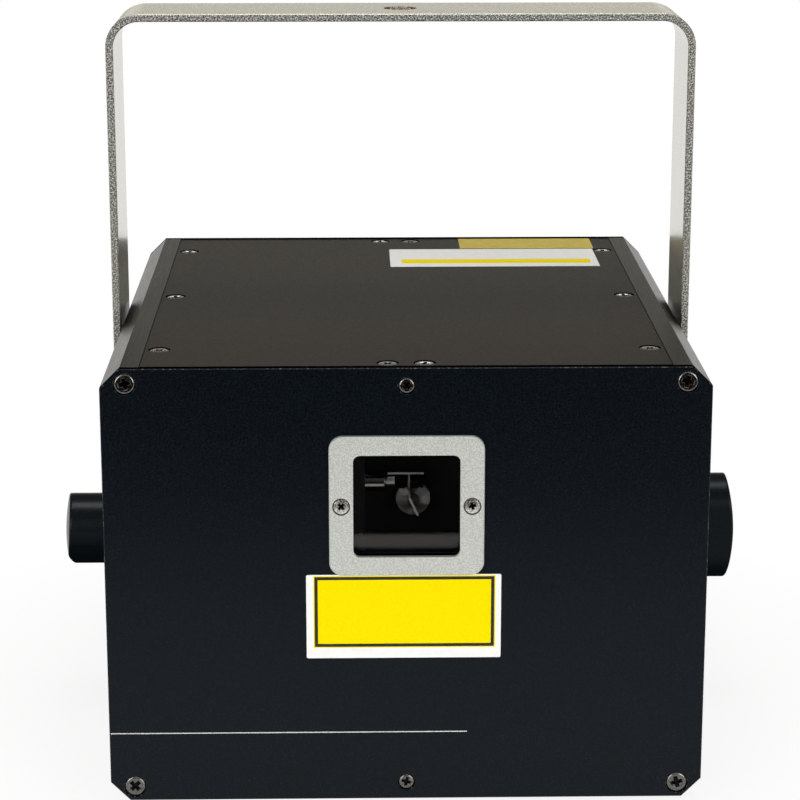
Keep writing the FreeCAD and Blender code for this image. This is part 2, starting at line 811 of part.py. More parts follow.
def knob(side, turn_deg):
    """An oval hand knob with a domed outer face, threaded over its stud."""
    lobe = knob_width / 2
    reach = knob_length / 2 - lobe
    height = knob_side_height + knob_dome
    start = (knob_base, 0, pivot_height)
    middle = block((knob_base, knob_base + height), (-reach, reach), (pivot_height - lobe, pivot_height + lobe))
    lobes = [rod((knob_base, y, pivot_height), (1, 0, 0), lobe, height) for y in (-reach, reach)]
    body = joined([middle] + lobes)
    ball_radius = ((knob_length / 2) ** 2 + knob_dome ** 2) / (2 * knob_dome)
    ball = Part.makeSphere(ball_radius, FreeCAD.Vector(knob_base + height - ball_radius, 0, pivot_height))
    body = body.common(ball)
    rim = [edge for edge in body.Edges if edge.BoundBox.XMin > knob_base + knob_side_height / 2
           and edge.BoundBox.YLength + edge.BoundBox.ZLength > lobe / 2]
    body = body.makeFillet(knob_edge_round, rim)
    body = cut(body, [rod(start, (1, 0, 0), stud_radius + thread_clearance, stud_in_knob)])
    body = turned(body, start, (1, 0, 0), turn_deg)
    if side < 0:
        body = body.mirror(FreeCAD.Vector(0, 0, 0), FreeCAD.Vector(1, 0, 0))
    return body


def knob_stud(side):
    inner = wall_inner - stud_inside_case
    start = (side * inner, 0, pivot_height)
    return rod(start, (side, 0, 0), stud_radius, knob_base + stud_in_knob - inner)


def galvo_body(nose_radius, nose_length):
    """A scanner motor along +Z, its body's front at the origin, with a nose and a bore for its shaft."""
    body = rod((0, 0, 0), DOWN, galvo_radius, galvo_length)
    bore = rod((0, 0, nose_length), DOWN, shaft_radius + shaft_running_gap, nose_length + shaft_depth)
    if nose_length > 0:
        body = joined([body, rod((0, 0, 0), UP, nose_radius, nose_length)])
    return cut(body, [bore])


def mirror_plate(length, width):
    """A thin mirror that stands along +Z from the origin, its face towards +X."""
    half = mirror_thickness / 2
    return block((-half, half), (-width / 2, width / 2), (0, length))


def rotor(mirror, nose_length):
    """A shaft along +Z with the holder that grips the mirror's near end. The mirror starts at the origin."""
    holder_start = holder_lap - holder_length
    tail = -holder_gap - nose_length - shaft_depth
    holder = rod((0, 0, holder_start), UP, holder_radius, holder_length)
    shaft = rod((0, 0, holder_start + tail), UP, shaft_radius, -tail)
    return cut(joined([holder, shaft]), [mirror])


x_front = scan_place + x_mirror_length / 2
x_start = (scan_x_side, x_front, beam_height)
x_galvo_front = x_front + holder_length - holder_lap + holder_gap
y_start_x = scan_x_side - y_mirror_length + x_mirror_width / 2
y_start = (y_start_x, scan_place, scan_y_height)
y_nose_tip = y_start_x - (holder_length - holder_lap) - holder_gap


def x_scan(solid):
    """Places a piece of the first scanner: its axis along Y, its mirror turned about it."""
    spun = turned(solid, (0, 0, 0), UP, x_mirror_turn_deg)
    laid = turned(spun, (0, 0, 0), (1, 0, 0), 90)
    return shifted(laid, x_start)


def y_scan(solid):
    """Places a piece of the second scanner: its axis along X, its mirror facing down and forward."""
    spun = turned(solid, (0, 0, 0), UP, y_mirror_tilt_deg)
    laid = turned(spun, (0, 0, 0), (0, 1, 0), 90)
    return shifted(laid, y_start)


def x_scan_mirror():
    return x_scan(mirror_plate(x_mirror_length, x_mirror_width))


def x_scan_rotor():
    return x_scan(rotor(mirror_plate(x_mirror_length, x_mirror_width), 0.0))


def y_scan_mirror():
    return y_scan(mirror_plate(y_mirror_length, y_mirror_width))


def y_scan_rotor():
    return y_scan(rotor(mirror_plate(y_mirror_length, y_mirror_width), galvo_nose_length))


def x_galvo():
    return aim(galvo_body(galvo_radius, 0.0), (scan_x_side, x_galvo_front, beam_height), FORWARD)


def y_galvo():
    start = (y_nose_tip - galvo_nose_length, scan_place, scan_y_height)
    return aim(galvo_body(galvo_nose_radius, galvo_nose_length), start, (1, 0, 0))


def scanner_block():
    """A floor with two uprights, bored for the scanner motors."""
    rear_start = x_galvo_front + block_rear_gap
    rear_end = rear_start + block_rear_thickness
    floor = block((-block_left, block_right), (optics_front, rear_end), (optics_top, block_floor))
    left = block((-block_left, -block_upright_face), (optics_front, rear_end),
                 (block_floor, block_floor + block_upright_rise))
    rear = block((-block_upright_face, block_right), (rear_start, rear_end),
                 (block_floor, block_floor + block_rear_rise))
    seat = galvo_radius + galvo_seat_gap
    y_body_end = y_nose_tip - galvo_nose_length
    bores = [rod((scan_x_side, rear_start, beam_height), BACKWARD, seat, block_rear_thickness),
             rod((y_body_end, scan_place, scan_y_height), (-1, 0, 0), seat, block_left),
             rod((y_body_end, scan_place, scan_y_height), (1, 0, 0), galvo_nose_radius + galvo_seat_gap,
                 galvo_nose_length)]
    return cut(joined([floor, left, rear]), bores)


pillar_places = [(x, y) for x in (pillar_side_inset - optics_half, optics_half - pillar_side_inset)
                 for y in (optics_front + pillar_end_inset, optics_rear - pillar_end_inset)]


def optics_plate():
    return block((-optics_half, optics_half), (optics_front, optics_rear), (optics_bottom, optics_top))


def optics_pillars():
    height = optics_bottom - base_top
    return group([rod((x, y, base_top), UP, pillar_radius, height) for x, y in pillar_places])


def laser_module():
    """A laser module that fires along +X from the origin: a finned block with a collimator nose."""
    rear = -laser_nose_length - laser_length
    body = block((rear, -laser_nose_length), (-laser_width / 2, laser_width / 2),
                 (optics_top - beam_height, optics_top - beam_height + laser_height))
    nose = rod((-laser_nose_length, 0, 0), (1, 0, 0), laser_nose_radius, laser_nose_length)
    aperture = rod((-laser_aperture_depth, 0, 0), (1, 0, 0), laser_aperture_radius, laser_aperture_depth)
    top = optics_top - beam_height + laser_height
    pitch = laser_width / laser_fin_count
    slots = [block((rear, -laser_nose_length), (y - laser_fin_gap / 2, y + laser_fin_gap / 2),
                   (top - laser_fin_depth, top))
             for y in [-laser_width / 2 + (i + 0.5) * pitch for i in range(laser_fin_count)]]
    return cut(joined([body, nose]), [aperture] + slots)


green_y = x_galvo_front + galvo_length + laser_gap + laser_width / 2
blue_y = green_y + laser_pitch
red_y = blue_y + red_gap


def green_laser():
    return shifted(laser_module(), (beam_offset - combiner_gap, green_y, beam_height))


def blue_laser():
    return shifted(laser_module(), (beam_offset - combiner_gap, blue_y, beam_height))


def red_laser():
    return shifted(turned(laser_module(), (0, 0, 0), UP, -90), (beam_offset, red_y, beam_height))


optic_bottom = beam_height - optic_height / 2


def optic(place_y, turn_deg, thickness, width, extra):
    """An upright optical plate on the combined beam's line, turned about the upright."""
    half = thickness / 2 + extra
    plate = block((-half, half), (-width / 2, width / 2), (optic_bottom, optic_bottom + optic_height))
    return shifted(turned(plate, (0, 0, 0), UP, turn_deg), (beam_offset, place_y, 0))


optic_stations = ((scan_place, -45), (green_y, 45), (blue_y, 45))


def mirror_mounts():
    """Three posts with a slanting slot in the top for the plate that each holds."""
    posts = []
    for place_y, turn_deg in optic_stations:
        height = optic_bottom + mount_slot_depth - optics_top
        post = rod((beam_offset, place_y, optics_top), UP, mount_radius, height)
        slot = optic(place_y, turn_deg, optic_thickness, optic_width, mount_slot_gap)
        posts.append(cut(post, [slot]))
    return group(posts)


def turning_mirror():
    place_y, turn_deg = optic_stations[0]
    return optic(place_y, turn_deg, optic_thickness, optic_width, 0.0)


def dichroic_mirrors():
    return group([optic(place_y, turn_deg, optic_thickness, optic_width, 0.0)
                  for place_y, turn_deg in optic_stations[1:]])


def power_supply():
    """A closed supply case with a stepped terminal end."""
    x_span = (-ledge_edge, -supply_middle_gap)
    start = front_inner + supply_front_gap
    case = block(x_span, (start, rear_inner - supply_rear_gap), (base_top, base_top + supply_height))
    step = block(x_span, (start, start + supply_terminal_length),
                 (base_top + supply_terminal_height, base_top + supply_height))
    return cut(case, [step])


def scan_driver_board():
    """The driver board on four standoffs, with a heat sink bar along one side."""
    left = driver_middle_gap
    right = ledge_edge - driver_side_gap
    start = front_inner + driver_front_gap
    end = rear_inner - driver_rear_gap
    level = base_top + driver_standoff
    pieces = [block((left, right), (start, end), (level, level + board_thickness)),
              block((right - heat_sink_width, right), (start, end), (level, level + heat_sink_height))]
    for x in (left + standoff_inset, right - standoff_inset):
        for y in (start + standoff_inset, end - standoff_inset):
            pieces.append(rod((x, y, base_top), UP, standoff_radius, driver_standoff))
    return joined(pieces)


def control_board():
    """The upright board behind the rear fittings, with its standoffs, display module and button switches."""
    left = signal_in_place[0] - board_socket_lap
    right = half_width - board_side_gap
    low = case_bottom + board_foot_gap
    high = case_top - board_head_gap
    pieces = [block((left, right), (board_face - board_thickness, board_face), (low, high))]
    for x in (fan_place[0] + fan_size / 2 + standoff_inset, right - standoff_inset):
        for z in (case_bottom + board_middle_rise, high - standoff_inset):
            pieces.append(rod((x, board_face, z), BACKWARD, standoff_radius, board_gap))
    module = (display_width, display_height)
    pieces.append(panel(display_place, module, panel_gap, (board_face, rear_inner - display_lip_thickness)))
    end = rear_inner - button_flange_thickness - button_stem_length - button_travel - button_stop_room
    half = tact_switch_size / 2
    for x, z in button_places:
        pieces.append(block((x - half, x + half), (board_face, end), (z - half, z + half)))
    return joined(pieces)


def fan_frame():
    """A square fan frame with a round bore and a spider that carries the rotor's shaft."""
    x, z = fan_place
    half = fan_size / 2
    start = rear_inner - fan_depth
    frame = block((x - half, x + half), (start, rear_inner), (z - half, z + half))
    frame = cut(frame, [rod((x, start, z), BACKWARD, fan_bore_radius, fan_depth)])
    arm = fan_spider_arm / 2
    spider_span = (start, start + fan_spider_thickness)
    reach = (fan_bore_radius + half) / 2
    spider = [block((x - reach, x + reach), spider_span, (z - arm, z + arm)),
              block((x - arm, x + arm), spider_span, (z - reach, z + reach)),
              rod((x, start, z), BACKWARD, fan_hub_radius, fan_spider_thickness)]
    holes = [rod((x, start, z), BACKWARD, fan_shaft_radius + fan_shaft_gap, fan_spider_thickness)]
    for screw_x, screw_z in fan_screw_places:
        holes.append(rod((screw_x, start, screw_z), BACKWARD, m4_radius + thread_clearance, fan_depth))
    return cut(joined([frame] + spider), holes)


def fan_rotor():
    """A hub with pitched blades and the shaft that runs in the spider."""
    x, z = fan_place
    start = rear_inner - fan_depth
    hub_start = start + fan_spider_thickness + fan_hub_end_gap
    hub_length = rear_inner - fan_hub_end_gap - hub_start
    tip = fan_bore_radius - fan_tip_gap
    hub = rod((0, 0, 0), BACKWARD, fan_hub_radius, hub_length)
    middle = hub_length / 2
    thick = fan_blade_thickness / 2
    root = fan_hub_radius / 2
    blade = block((root, fan_bore_radius), (middle - thick, middle + thick),
                  (-fan_blade_chord / 2, fan_blade_chord / 2))
    blade = turned(blade, (0, middle, 0), (1, 0, 0), fan_blade_pitch_deg)
    sweep = rod((0, 0, 0), BACKWARD, tip, hub_length)
    blade = blade.common(sweep)
    blades = [turned(blade, (0, 0, 0), BACKWARD, 360 / fan_blade_count * i) for i in range(fan_blade_count)]
    shaft = rod((0, start - hub_start, 0), BACKWARD, fan_shaft_radius, hub_start - start)
    return shifted(joined([hub, shaft] + blades), (x, hub_start, z))


def fan_guard():
    """A wire guard: rings on two crossed wires, with an eye for each fan screw."""
    x, z = fan_place
    wire = guard_wire_radius
    level = rear_face + wire
    ring_level = level + 1.5 * wire
    eye_radius = m4_radius + guard_eye_gap + wire
    rings = [Part.makeTorus(guard_ring_pitch * (i + 1), wire, FreeCAD.Vector(x, ring_level, z), vector(BACKWARD))
             for i in range(guard_ring_count)]
    reach = fan_hole_pitch / math.sqrt(2) - eye_radius
    wires = []
    for turn_deg in (45, 135):
        bar = rod((x - reach, level, z), (1, 0, 0), wire, 2 * reach)
        wires.append(turned(bar, (x, level, z), BACKWARD, turn_deg))
    eyes = [Part.makeTorus(eye_radius, wire, FreeCAD.Vector(sx, level, sz), vector(BACKWARD))
            for sx, sz in fan_screw_places]
    return joined(wires + rings + eyes)


def fan_screws():
    seat = rear_face + 2 * guard_wire_radius
    screw = pan_screw(m4_radius, m4_head_radius, sunk_head_height, seat - rear_inner + fan_screw_grip)
    return group([aim(driven(screw, i), (x, seat, z), BACKWARD)
                  for i, (x, z) in enumerate(fan_screw_places)])


plug_x = inlet_place[0] - inlet_body_width / 2 + inlet_side_wall + plug_width / 2
rocker_x = inlet_place[0] + inlet_body_width / 2 - inlet_side_wall - rocker_pocket_width / 2
rocker_y = rear_face + inlet_flange_thickness - rocker_sink
rocker_z = inlet_place[1]


def power_inlet():
    """A power entry: a flanged body with a plug recess, three blades and a pocket for the rocker."""
    z = inlet_place[1]
    outer = rear_face + inlet_flange_thickness
    flange = panel(inlet_place, (inlet_flange_width, inlet_flange_height), inlet_corner, (rear_face, outer))
    body = panel(inlet_place, (inlet_body_width, inlet_body_height), inlet_corner,
                 (rear_inner - inlet_body_depth, rear_face))
    recess = panel((plug_x, z), (plug_width, plug_height), inlet_corner, (outer - plug_depth, outer))
    pocket_half = rocker_pocket_width / 2
    pocket_rise = rocker_pocket_length / 2
    pocket = block((rocker_x - pocket_half, rocker_x + pocket_half),
                   (rocker_y - rocker_foot_depth - 2 * rocker_room, outer), (z - pocket_rise, z + pocket_rise))
    pin_half = pocket_half + rocker_pin_length
    pin_hole = rod((rocker_x - pin_half, rocker_y, z), (1, 0, 0), rocker_pin_radius + rocker_pin_gap, 2 * pin_half)
    shell = cut(joined([flange, body]), [recess, pocket, pin_hole])
    floor = outer - plug_depth
    blades = []
    for dx, dz, wide, tall in ((-plug_pin_pitch, -1, plug_pin_thickness, plug_pin_width),
                               (plug_pin_pitch, -1, plug_pin_thickness, plug_pin_width),
                               (0, 1, plug_pin_thickness, plug_pin_width)):
        centre_z = z + dz * plug_pin_width / 2
        blades.append(block((plug_x + dx - wide / 2, plug_x + dx + wide / 2), (floor, floor + plug_pin_length),
                            (centre_z - tall / 2, centre_z + tall / 2)))
    return joined([shell] + blades)


def power_rocker():
    """A rocker with a shallow V face on two stub pins, resting at off."""
    half = rocker_length / 2
    foot = rocker_foot_length / 2
    outline = [(rocker_end_height, -half), (rocker_waist_height, 0), (rocker_end_height, half),
               (rocker_side_height, half), (-rocker_foot_depth, foot), (-rocker_foot_depth, -foot),
               (rocker_side_height, -half)]
    start = rocker_x - rocker_width / 2
    body = prism([(start, rocker_y + d, rocker_z + w) for d, w in outline], (rocker_width, 0, 0))
    pin_half = rocker_width / 2 + rocker_room + rocker_pin_length - rocker_pin_gap
    pins = rod((rocker_x - pin_half, rocker_y, rocker_z), (1, 0, 0), rocker_pin_radius, 2 * pin_half)
    return turned(joined([body, pins]), (rocker_x, rocker_y, rocker_z), (1, 0, 0), rocker_rest_deg)


def signal_shell(place):
    """A flanged round socket body that reaches back to the control board."""
    x, z = place
    outer = rear_face + signal_flange_thickness
    flange = panel(place, (signal_flange_width, signal_flange_height), signal_flange_corner, (rear_face, outer))
    body = rod((x, board_face, z), BACKWARD, signal_body_radius, rear_face - board_face)
    return joined([flange, body])


def signal_contacts(place, start, radius, length):
    """Three round contacts on a circle, from a level outwards."""
    x, z = place
    angles = [math.radians(90 + 120 * i) for i in range(3)]
    return [rod((x + signal_pin_circle * math.cos(a), start, z + signal_pin_circle * math.sin(a)), BACKWARD,
                radius, length) for a in angles]


def signal_input_socket():
    """A cup with three pins."""
    x, z = signal_in_place
    outer = rear_face + signal_flange_thickness
    floor = outer - signal_cup_depth
    cup = rod((x, floor, z), BACKWARD, signal_cup_radius, signal_cup_depth)
    pins = signal_contacts(signal_in_place, floor, signal_pin_radius, signal_pin_length)
    return joined([cut(signal_shell(signal_in_place), [cup])] + pins)


def signal_output_socket():
    """A closed face with three contact holes."""
    outer = rear_face + signal_flange_thickness
    holes = signal_contacts(signal_out_place, outer - signal_hole_depth, signal_hole_radius, signal_hole_depth)
    return cut(signal_shell(signal_out_place), holes)


def scan_signal_socket():
    """A wide D-shaped socket with a flange and two hexagonal posts, backed by the control board."""
    x, z = scan_socket_place
    outer = rear_face + scan_socket_thickness
    half = scan_shell_height / 2
    outline = [(-scan_shell_top / 2, half), (scan_shell_top / 2, half),
               (scan_shell_bottom / 2, -half), (-scan_shell_bottom / 2, -half)]
    shell = prism([(x + u, board_face, z + w) for u, w in outline], (0, outer + scan_shell_depth - board_face, 0))
    flange = panel(scan_socket_place, (scan_socket_width, scan_socket_height), scan_socket_thickness,
                   (rear_face, outer))
    posts = []
    for side in (-1, 1):
        hexagon = [(x + side * scan_post_offset + scan_post_radius * math.cos(math.radians(60 * i)), outer,
                    z + scan_post_radius * math.sin(math.radians(60 * i))) for i in range(6)]
        posts.append(prism(hexagon, (0, scan_post_length, 0)))
    contacts = []
    for row, count in ((1, scan_contact_count), (-1, scan_contact_count - 1)):
        for i in range(count):
            place = (x + (i - (count - 1) / 2) * scan_contact_pitch, outer + scan_shell_depth,
                     z + row * scan_contact_row_gap / 2)
            contacts.append(rod(place, FORWARD, scan_contact_radius, scan_contact_depth))
    return cut(joined([flange, shell] + posts), contacts)


lock_front = rear_face + lock_ring_thickness


def key_switch():
    """A lock barrel with its ring outside, its nut inside and a bore for the turning plug."""
    x, z = lock_place
    ring = rod((x, rear_face, z), BACKWARD, lock_ring_radius, lock_ring_thickness)
    body = rod((x, rear_face - lock_body_depth, z), BACKWARD, lock_body_radius, lock_body_depth)
    nut = rod((x, rear_inner - lock_nut_thickness, z), BACKWARD, lock_nut_radius, lock_nut_thickness)
    bore = rod((x, lock_front - lock_plug_depth, z), BACKWARD, lock_plug_radius + lock_plug_gap, lock_plug_depth)
    return cut(joined([ring, body, nut]), [bore])


def lock_plug():
    """The turning plug of the lock, with its key slot upright at off."""
    x, z = lock_place
    plug = rod((x, lock_front - lock_plug_depth + lock_end_gap, z), BACKWARD, lock_plug_radius,
               lock_plug_depth - lock_end_gap)
    half = key_slot_width / 2
    rise = key_slot_height / 2
    slot = block((x - half, x + half), (lock_front - key_slot_depth, lock_front), (z - rise, z + rise))
    return cut(plug, [slot])


def interlock_socket():
    """A small round jack with a ring nut."""
    x, z = interlock_place
    outer = rear_face + interlock_nut_thickness
    nut = rod((x, rear_face, z), BACKWARD, interlock_nut_radius, interlock_nut_thickness)
    body = rod((x, rear_face - interlock_body_depth, z), BACKWARD, interlock_body_radius, interlock_body_depth)
    hole = rod((x, outer - interlock_hole_depth, z), BACKWARD, interlock_hole_radius, interlock_hole_depth)
    return cut(joined([nut, body]), [hole])


def display_window():
    """A smoked lens let into the rear plate, with a lip behind it."""
    lens = panel(display_place, (display_width, display_height), panel_gap, (rear_inner, rear_face - display_step))
    lip_size = (display_width + 2 * display_lip, display_height + 2 * display_lip)
    lip = panel(display_place, lip_size, display_lip, (rear_inner - display_lip_thickness, rear_inner))
    return joined([lens, lip])


def menu_button(place):
    """A round button held behind the plate by its flange, with a stem towards its switch."""
    x, z = place
    cap = rod((x, rear_inner, z), BACKWARD, button_radius, plate_thickness + button_proud)
    outer = rear_face + button_proud
    cap = cap.makeFillet(button_proud / 3, edges_on_plane(cap, 1, outer))
    flange_start = rear_inner - button_flange_thickness
    flange_radius = button_radius + button_gap + button_flange_lap
    flange = rod((x, flange_start, z), BACKWARD, flange_radius, button_flange_thickness)
    stem = rod((x, flange_start - button_stem_length, z), BACKWARD, button_stem_radius, button_stem_length)
    return joined([cap, flange, stem])


pieces = {
    "front_plate": front_plate(),
    "rear_plate": rear_plate(),
    "left_side_profile": side_profile(-1),
    "right_side_profile": side_profile(1),
    "top_cover": top_cover(),
    "bottom_plate": bottom_plate(),
    "centre_blocks": centre_blocks(),
    "front_plate_screws": plate_screws(front_face, -1),
    "rear_plate_screws": plate_screws(rear_face, 1),
    "top_cover_screws": lid_screws(cover_thickness, cover_top, UP),
    "bottom_plate_screws": lid_screws(base_thickness, case_bottom, DOWN),
    "window_bezel": window_bezel(),
    "window_glass": window_glass(),
    "window_gasket": window_gasket(),
    "bezel_screws": bezel_screws(),
    "rubber_feet": rubber_feet(),
    "foot_screws": foot_screws(),
    "mounting_bracket": mounting_bracket(),
    "friction_washers": washers(half_width, friction_washer_radius, friction_washer_thickness),
    "knob_washers": washers(bracket_outer, knob_washer_radius, knob_washer_thickness),
    "pivot_inserts": pivot_inserts(),
    "left_knob": knob(-1, left_knob_turn_deg),
    "right_knob": knob(1, right_knob_turn_deg),
    "left_knob_stud": knob_stud(-1),
    "right_knob_stud": knob_stud(1),
    "scanner_block": scanner_block(),
    "x_galvo": x_galvo(),
    "y_galvo": y_galvo(),
    "x_scan_rotor": x_scan_rotor(),
    "x_scan_mirror": x_scan_mirror(),
    "y_scan_rotor": y_scan_rotor(),
    "y_scan_mirror": y_scan_mirror(),
    "optics_plate": optics_plate(),
    "optics_pillars": optics_pillars(),
    "red_laser": red_laser(),
    "green_laser": green_laser(),
    "blue_laser": blue_laser(),
    "mirror_mounts": mirror_mounts(),
    "turning_mirror": turning_mirror(),
    "dichroic_mirrors": dichroic_mirrors(),
    "power_supply": power_supply(),
    "scan_driver_board": scan_driver_board(),
    "control_board": control_board(),
    "fan_frame": fan_frame(),
    "fan_rotor": fan_rotor(),
    "fan_guard": fan_guard(),
    "fan_screws": fan_screws(),
    "power_inlet": power_inlet(),
    "power_rocker": power_rocker(),
    "signal_input_socket": signal_input_socket(),
    "signal_output_socket": signal_output_socket(),
    "scan_signal_socket": scan_signal_socket(),
    "key_switch": key_switch(),
    "lock_plug": lock_plug(),
    "interlock_socket": interlock_socket(),
    "display_window": display_window(),
}
for name, place in zip(("mode_button", "down_button", "up_button", "enter_button"), button_places):
    pieces[name] = menu_button(place)

os.makedirs("parts", exist_ok=True)
for name, shape in pieces.items():
    shape.exportStep("parts/" + name + ".step")
    print(f"{name}: {len(shape.Solids)} solids, {shape.Volume:.0f} mm3, valid {shape.isValid()}")
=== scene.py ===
# %% [markdown]
# # A laser show projector, finished in Blender
#
# The projector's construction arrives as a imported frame: sixty named pieces that are already in
# place, in metres, with +Z up and the beam leaving along -Y. Nothing about their shape or place
# changes here. This lesson sets up the photograph's camera and a plain studio, gives every piece
# its finish, and adds the thin printed and glued things that a construction model leaves out.

# %% Load the frame
import math

import bmesh
import bpy
import numpy as np
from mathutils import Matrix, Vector


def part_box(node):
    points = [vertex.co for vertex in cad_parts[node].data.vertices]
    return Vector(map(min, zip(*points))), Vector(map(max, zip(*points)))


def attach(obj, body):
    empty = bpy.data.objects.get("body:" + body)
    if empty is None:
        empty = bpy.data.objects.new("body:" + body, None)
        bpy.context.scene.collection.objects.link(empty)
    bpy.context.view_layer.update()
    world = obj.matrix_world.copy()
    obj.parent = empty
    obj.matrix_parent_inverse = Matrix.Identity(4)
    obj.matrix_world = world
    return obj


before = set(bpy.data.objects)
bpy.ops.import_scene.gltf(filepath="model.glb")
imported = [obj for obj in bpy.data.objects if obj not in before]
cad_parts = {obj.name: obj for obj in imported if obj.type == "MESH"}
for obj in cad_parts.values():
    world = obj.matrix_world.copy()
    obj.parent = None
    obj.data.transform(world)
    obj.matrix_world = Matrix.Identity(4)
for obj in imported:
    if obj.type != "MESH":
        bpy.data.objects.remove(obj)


scene = bpy.context.scene
scene.view_settings.view_transform = "Standard"
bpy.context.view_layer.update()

# %% [markdown]
# ## The camera
#
# A product photographer stands back and uses a long lens, so that upright edges stay nearly
# upright. The picture's edges were measured and fitted: the lens sees the 220 mm wide front plate
# from about 0.9 m, a little to its left, and looks down by fourteen and a half degrees. The image
# is 800 pixels square and the sensor is 36 mm wide, so a focal length in pixels, times 36 and
# divided by 800, is the same in millimetres.

# %% Set up the camera
picture_pixels = 800.0
focal_pixels = 2551.0
camera_place = (-0.0194, -1.0069, 0.3894)
look_down = math.radians(14.63)
look_right = math.radians(1.10)

camera = bpy.data.objects.new("photo_camera", bpy.data.cameras.new("photo_camera"))
camera.data.sensor_width = 36.0
camera.data.lens = focal_pixels * camera.data.sensor_width / picture_pixels
camera.location = camera_place
camera.rotation_euler = (math.pi / 2 - look_down, 0.0, -look_right)
scene.collection.objects.link(camera)
scene.camera = camera
print("lens:", round(camera.data.lens, 1), "mm")

# %% [markdown]
# ## Building finishes from nodes
#
# A finish here is one Principled shader. Numbers that are the same all over are set straight on its
# sockets. What varies over the surface comes from nodes, and three small helpers are enough to
# start with: one makes the material, one adds a node and joins it up, and one spreads a value over
# another range.

# %% Helpers that make a material


def finish(name, **sockets):
    """A material whose Principled shader has the given constants on its sockets.

    In the sockets' names, underscores stand for spaces."""
    material = bpy.data.materials.new(name)
    material.use_nodes = True
    shader = material.node_tree.nodes["Principled BSDF"]
    for socket, value in sockets.items():
        shader.inputs[socket.replace("_", " ")].default_value = value
    return material


def add_node(tree, kind, *sources, **settings):
    """A node of a kind with its settings, its first inputs joined to the given outputs."""
    node = tree.nodes.new("ShaderNode" + kind)
    for name, value in settings.items():
        setattr(node, name, value)
    for socket, source in zip(node.inputs, sources):
        tree.links.new(source, socket)
    return node


def spread(material, value, low, high, start=0.3, end=0.7):
    """A value that goes from start to end, spread from low to high; the usual ends suit noise."""
    ranged = add_node(material.node_tree, "MapRange", value)
    for socket, number in zip(("From Min", "From Max", "To Min", "To Max"), (start, end, low, high)):
        ranged.inputs[socket].default_value = number
    return ranged.outputs["Result"]


# %% [markdown]
# ## The studio
#
# The photograph shows the projector alone on white. A white sheet under it, lit by the lamps, gives
# that white and keeps the soft shadow where the projector stands. The sheet ends a third of a metre
# in front of the projector, out of sight. That end can still be seen in the photograph: the glass
# of the window mirrors the sheet as a grey strip along its lower edge, and above the strip it
# mirrors only the dark room. The satin front plate mirrors the same sheet, blurred, and so grows
# lighter towards its foot.
#
# Seen directly, in a mirror or through glass, the sheet turns into plain white with the distance
# from the projector, as a lit paper sweep does; close by it keeps some of the lamps' light and
# shadow. A glow does that, mixed in by the kind of ray and the distance.

# %% Colour the floor
keeps_shadow, plain_from = 0.14, 0.26
white_share = 0.88

floor_colour = finish("studio_floor", Base_Color=(0.90, 0.90, 0.89, 1.0), Roughness=0.9,
                      Specular_IOR_Level=0.1)
floor_tree = floor_colour.node_tree
sight = add_node(floor_tree, "LightPath").outputs
seen = add_node(floor_tree, "Math", sight["Is Camera Ray"], sight["Is Glossy Ray"], operation="MAXIMUM")
seen = add_node(floor_tree, "Math", seen.outputs[0], sight["Is Transmission Ray"], operation="MAXIMUM")
floor_place = add_node(floor_tree, "TexCoord").outputs["Object"]
away = add_node(floor_tree, "VectorMath", floor_place, operation="LENGTH")
whiten = spread(floor_colour, away.outputs["Value"], white_share, 1.0, start=keeps_shadow,
                end=plain_from)
share = add_node(floor_tree, "Math", seen.outputs[0], whiten, operation="MULTIPLY")
glow = add_node(floor_tree, "Emission")
lit = floor_tree.nodes["Principled BSDF"]
both = add_node(floor_tree, "MixShader", share.outputs[0], lit.outputs[0], glow.outputs[0])
floor_tree.links.new(both.outputs[0], floor_tree.nodes["Material Output"].inputs["Surface"])
print("floor turns white from", keeps_shadow, "to", plain_from, "m")

# %% [markdown]
# The floor's shape is a flat grid of two parameters, across and along, with the same number of
# cells each way.

# %% Lay the floor
floor_front, floor_back, floor_side = -0.4537, 7.0, 4.0
floor_cells = 8

grid_points = floor_cells + 1
across, along = np.meshgrid(np.linspace(-floor_side, floor_side, grid_points),
                            np.linspace(floor_front, floor_back, grid_points))
floor_points = np.stack([across, along, np.zeros_like(across)], axis=-1).reshape(-1, 3)
first_corner = (np.arange(floor_cells)[:, None] * grid_points + np.arange(floor_cells)).reshape(-1, 1)
floor_faces = first_corner + np.array([0, 1, grid_points + 1, grid_points])
floor_mesh = bpy.data.meshes.new("studio_floor")
floor_mesh.from_pydata(floor_points.tolist(), [], floor_faces.tolist())
floor_mesh.materials.append(floor_colour)
floor = bpy.data.objects.new("studio_floor", floor_mesh)
scene.collection.objects.link(floor)
print("floor:", len(floor_mesh.polygons), "faces")

# %% [markdown]
# Around the floor is the room. It is white to the camera. To everything else it is dark below the
# horizon, where the sheet has ended, white just above it behind the projector, where the sheet runs
# up, and dim higher up and on the camera's side. The chamfers of the black case look along the
# horizon at a very flat angle and so show a light grey; the cover looks a little higher and stays
# dark.

# %% Build the room
room_tint = (1.0, 0.97, 0.86)

room = bpy.data.worlds.new("studio")
room.use_nodes = True
scene.world = room
room_tree = room.node_tree
plain_white = room_tree.nodes["Background"]
plain_white.inputs["Color"].default_value = (1.0, 1.0, 1.0, 1.0)
direction = add_node(room_tree, "SeparateXYZ", add_node(room_tree, "TexCoord").outputs["Generated"])


def over_heights(*stops):
    """Levels of warm light over the sine of the height above the horizon, from -1 to 1."""
    rise = add_node(room_tree, "MapRange", direction.outputs["Z"])
    rise.inputs["From Min"].default_value = -1.0
    ramp = add_node(room_tree, "ValToRGB", rise.outputs["Result"])
    for sine, level in stops[2:]:
        ramp.color_ramp.elements.new(0.5 + 0.5 * sine)
    for element, (sine, level) in zip(ramp.color_ramp.elements, stops):
        element.position = 0.5 + 0.5 * sine
        element.color = (*(level * part for part in room_tint), 1.0)
    return ramp.outputs["Color"]


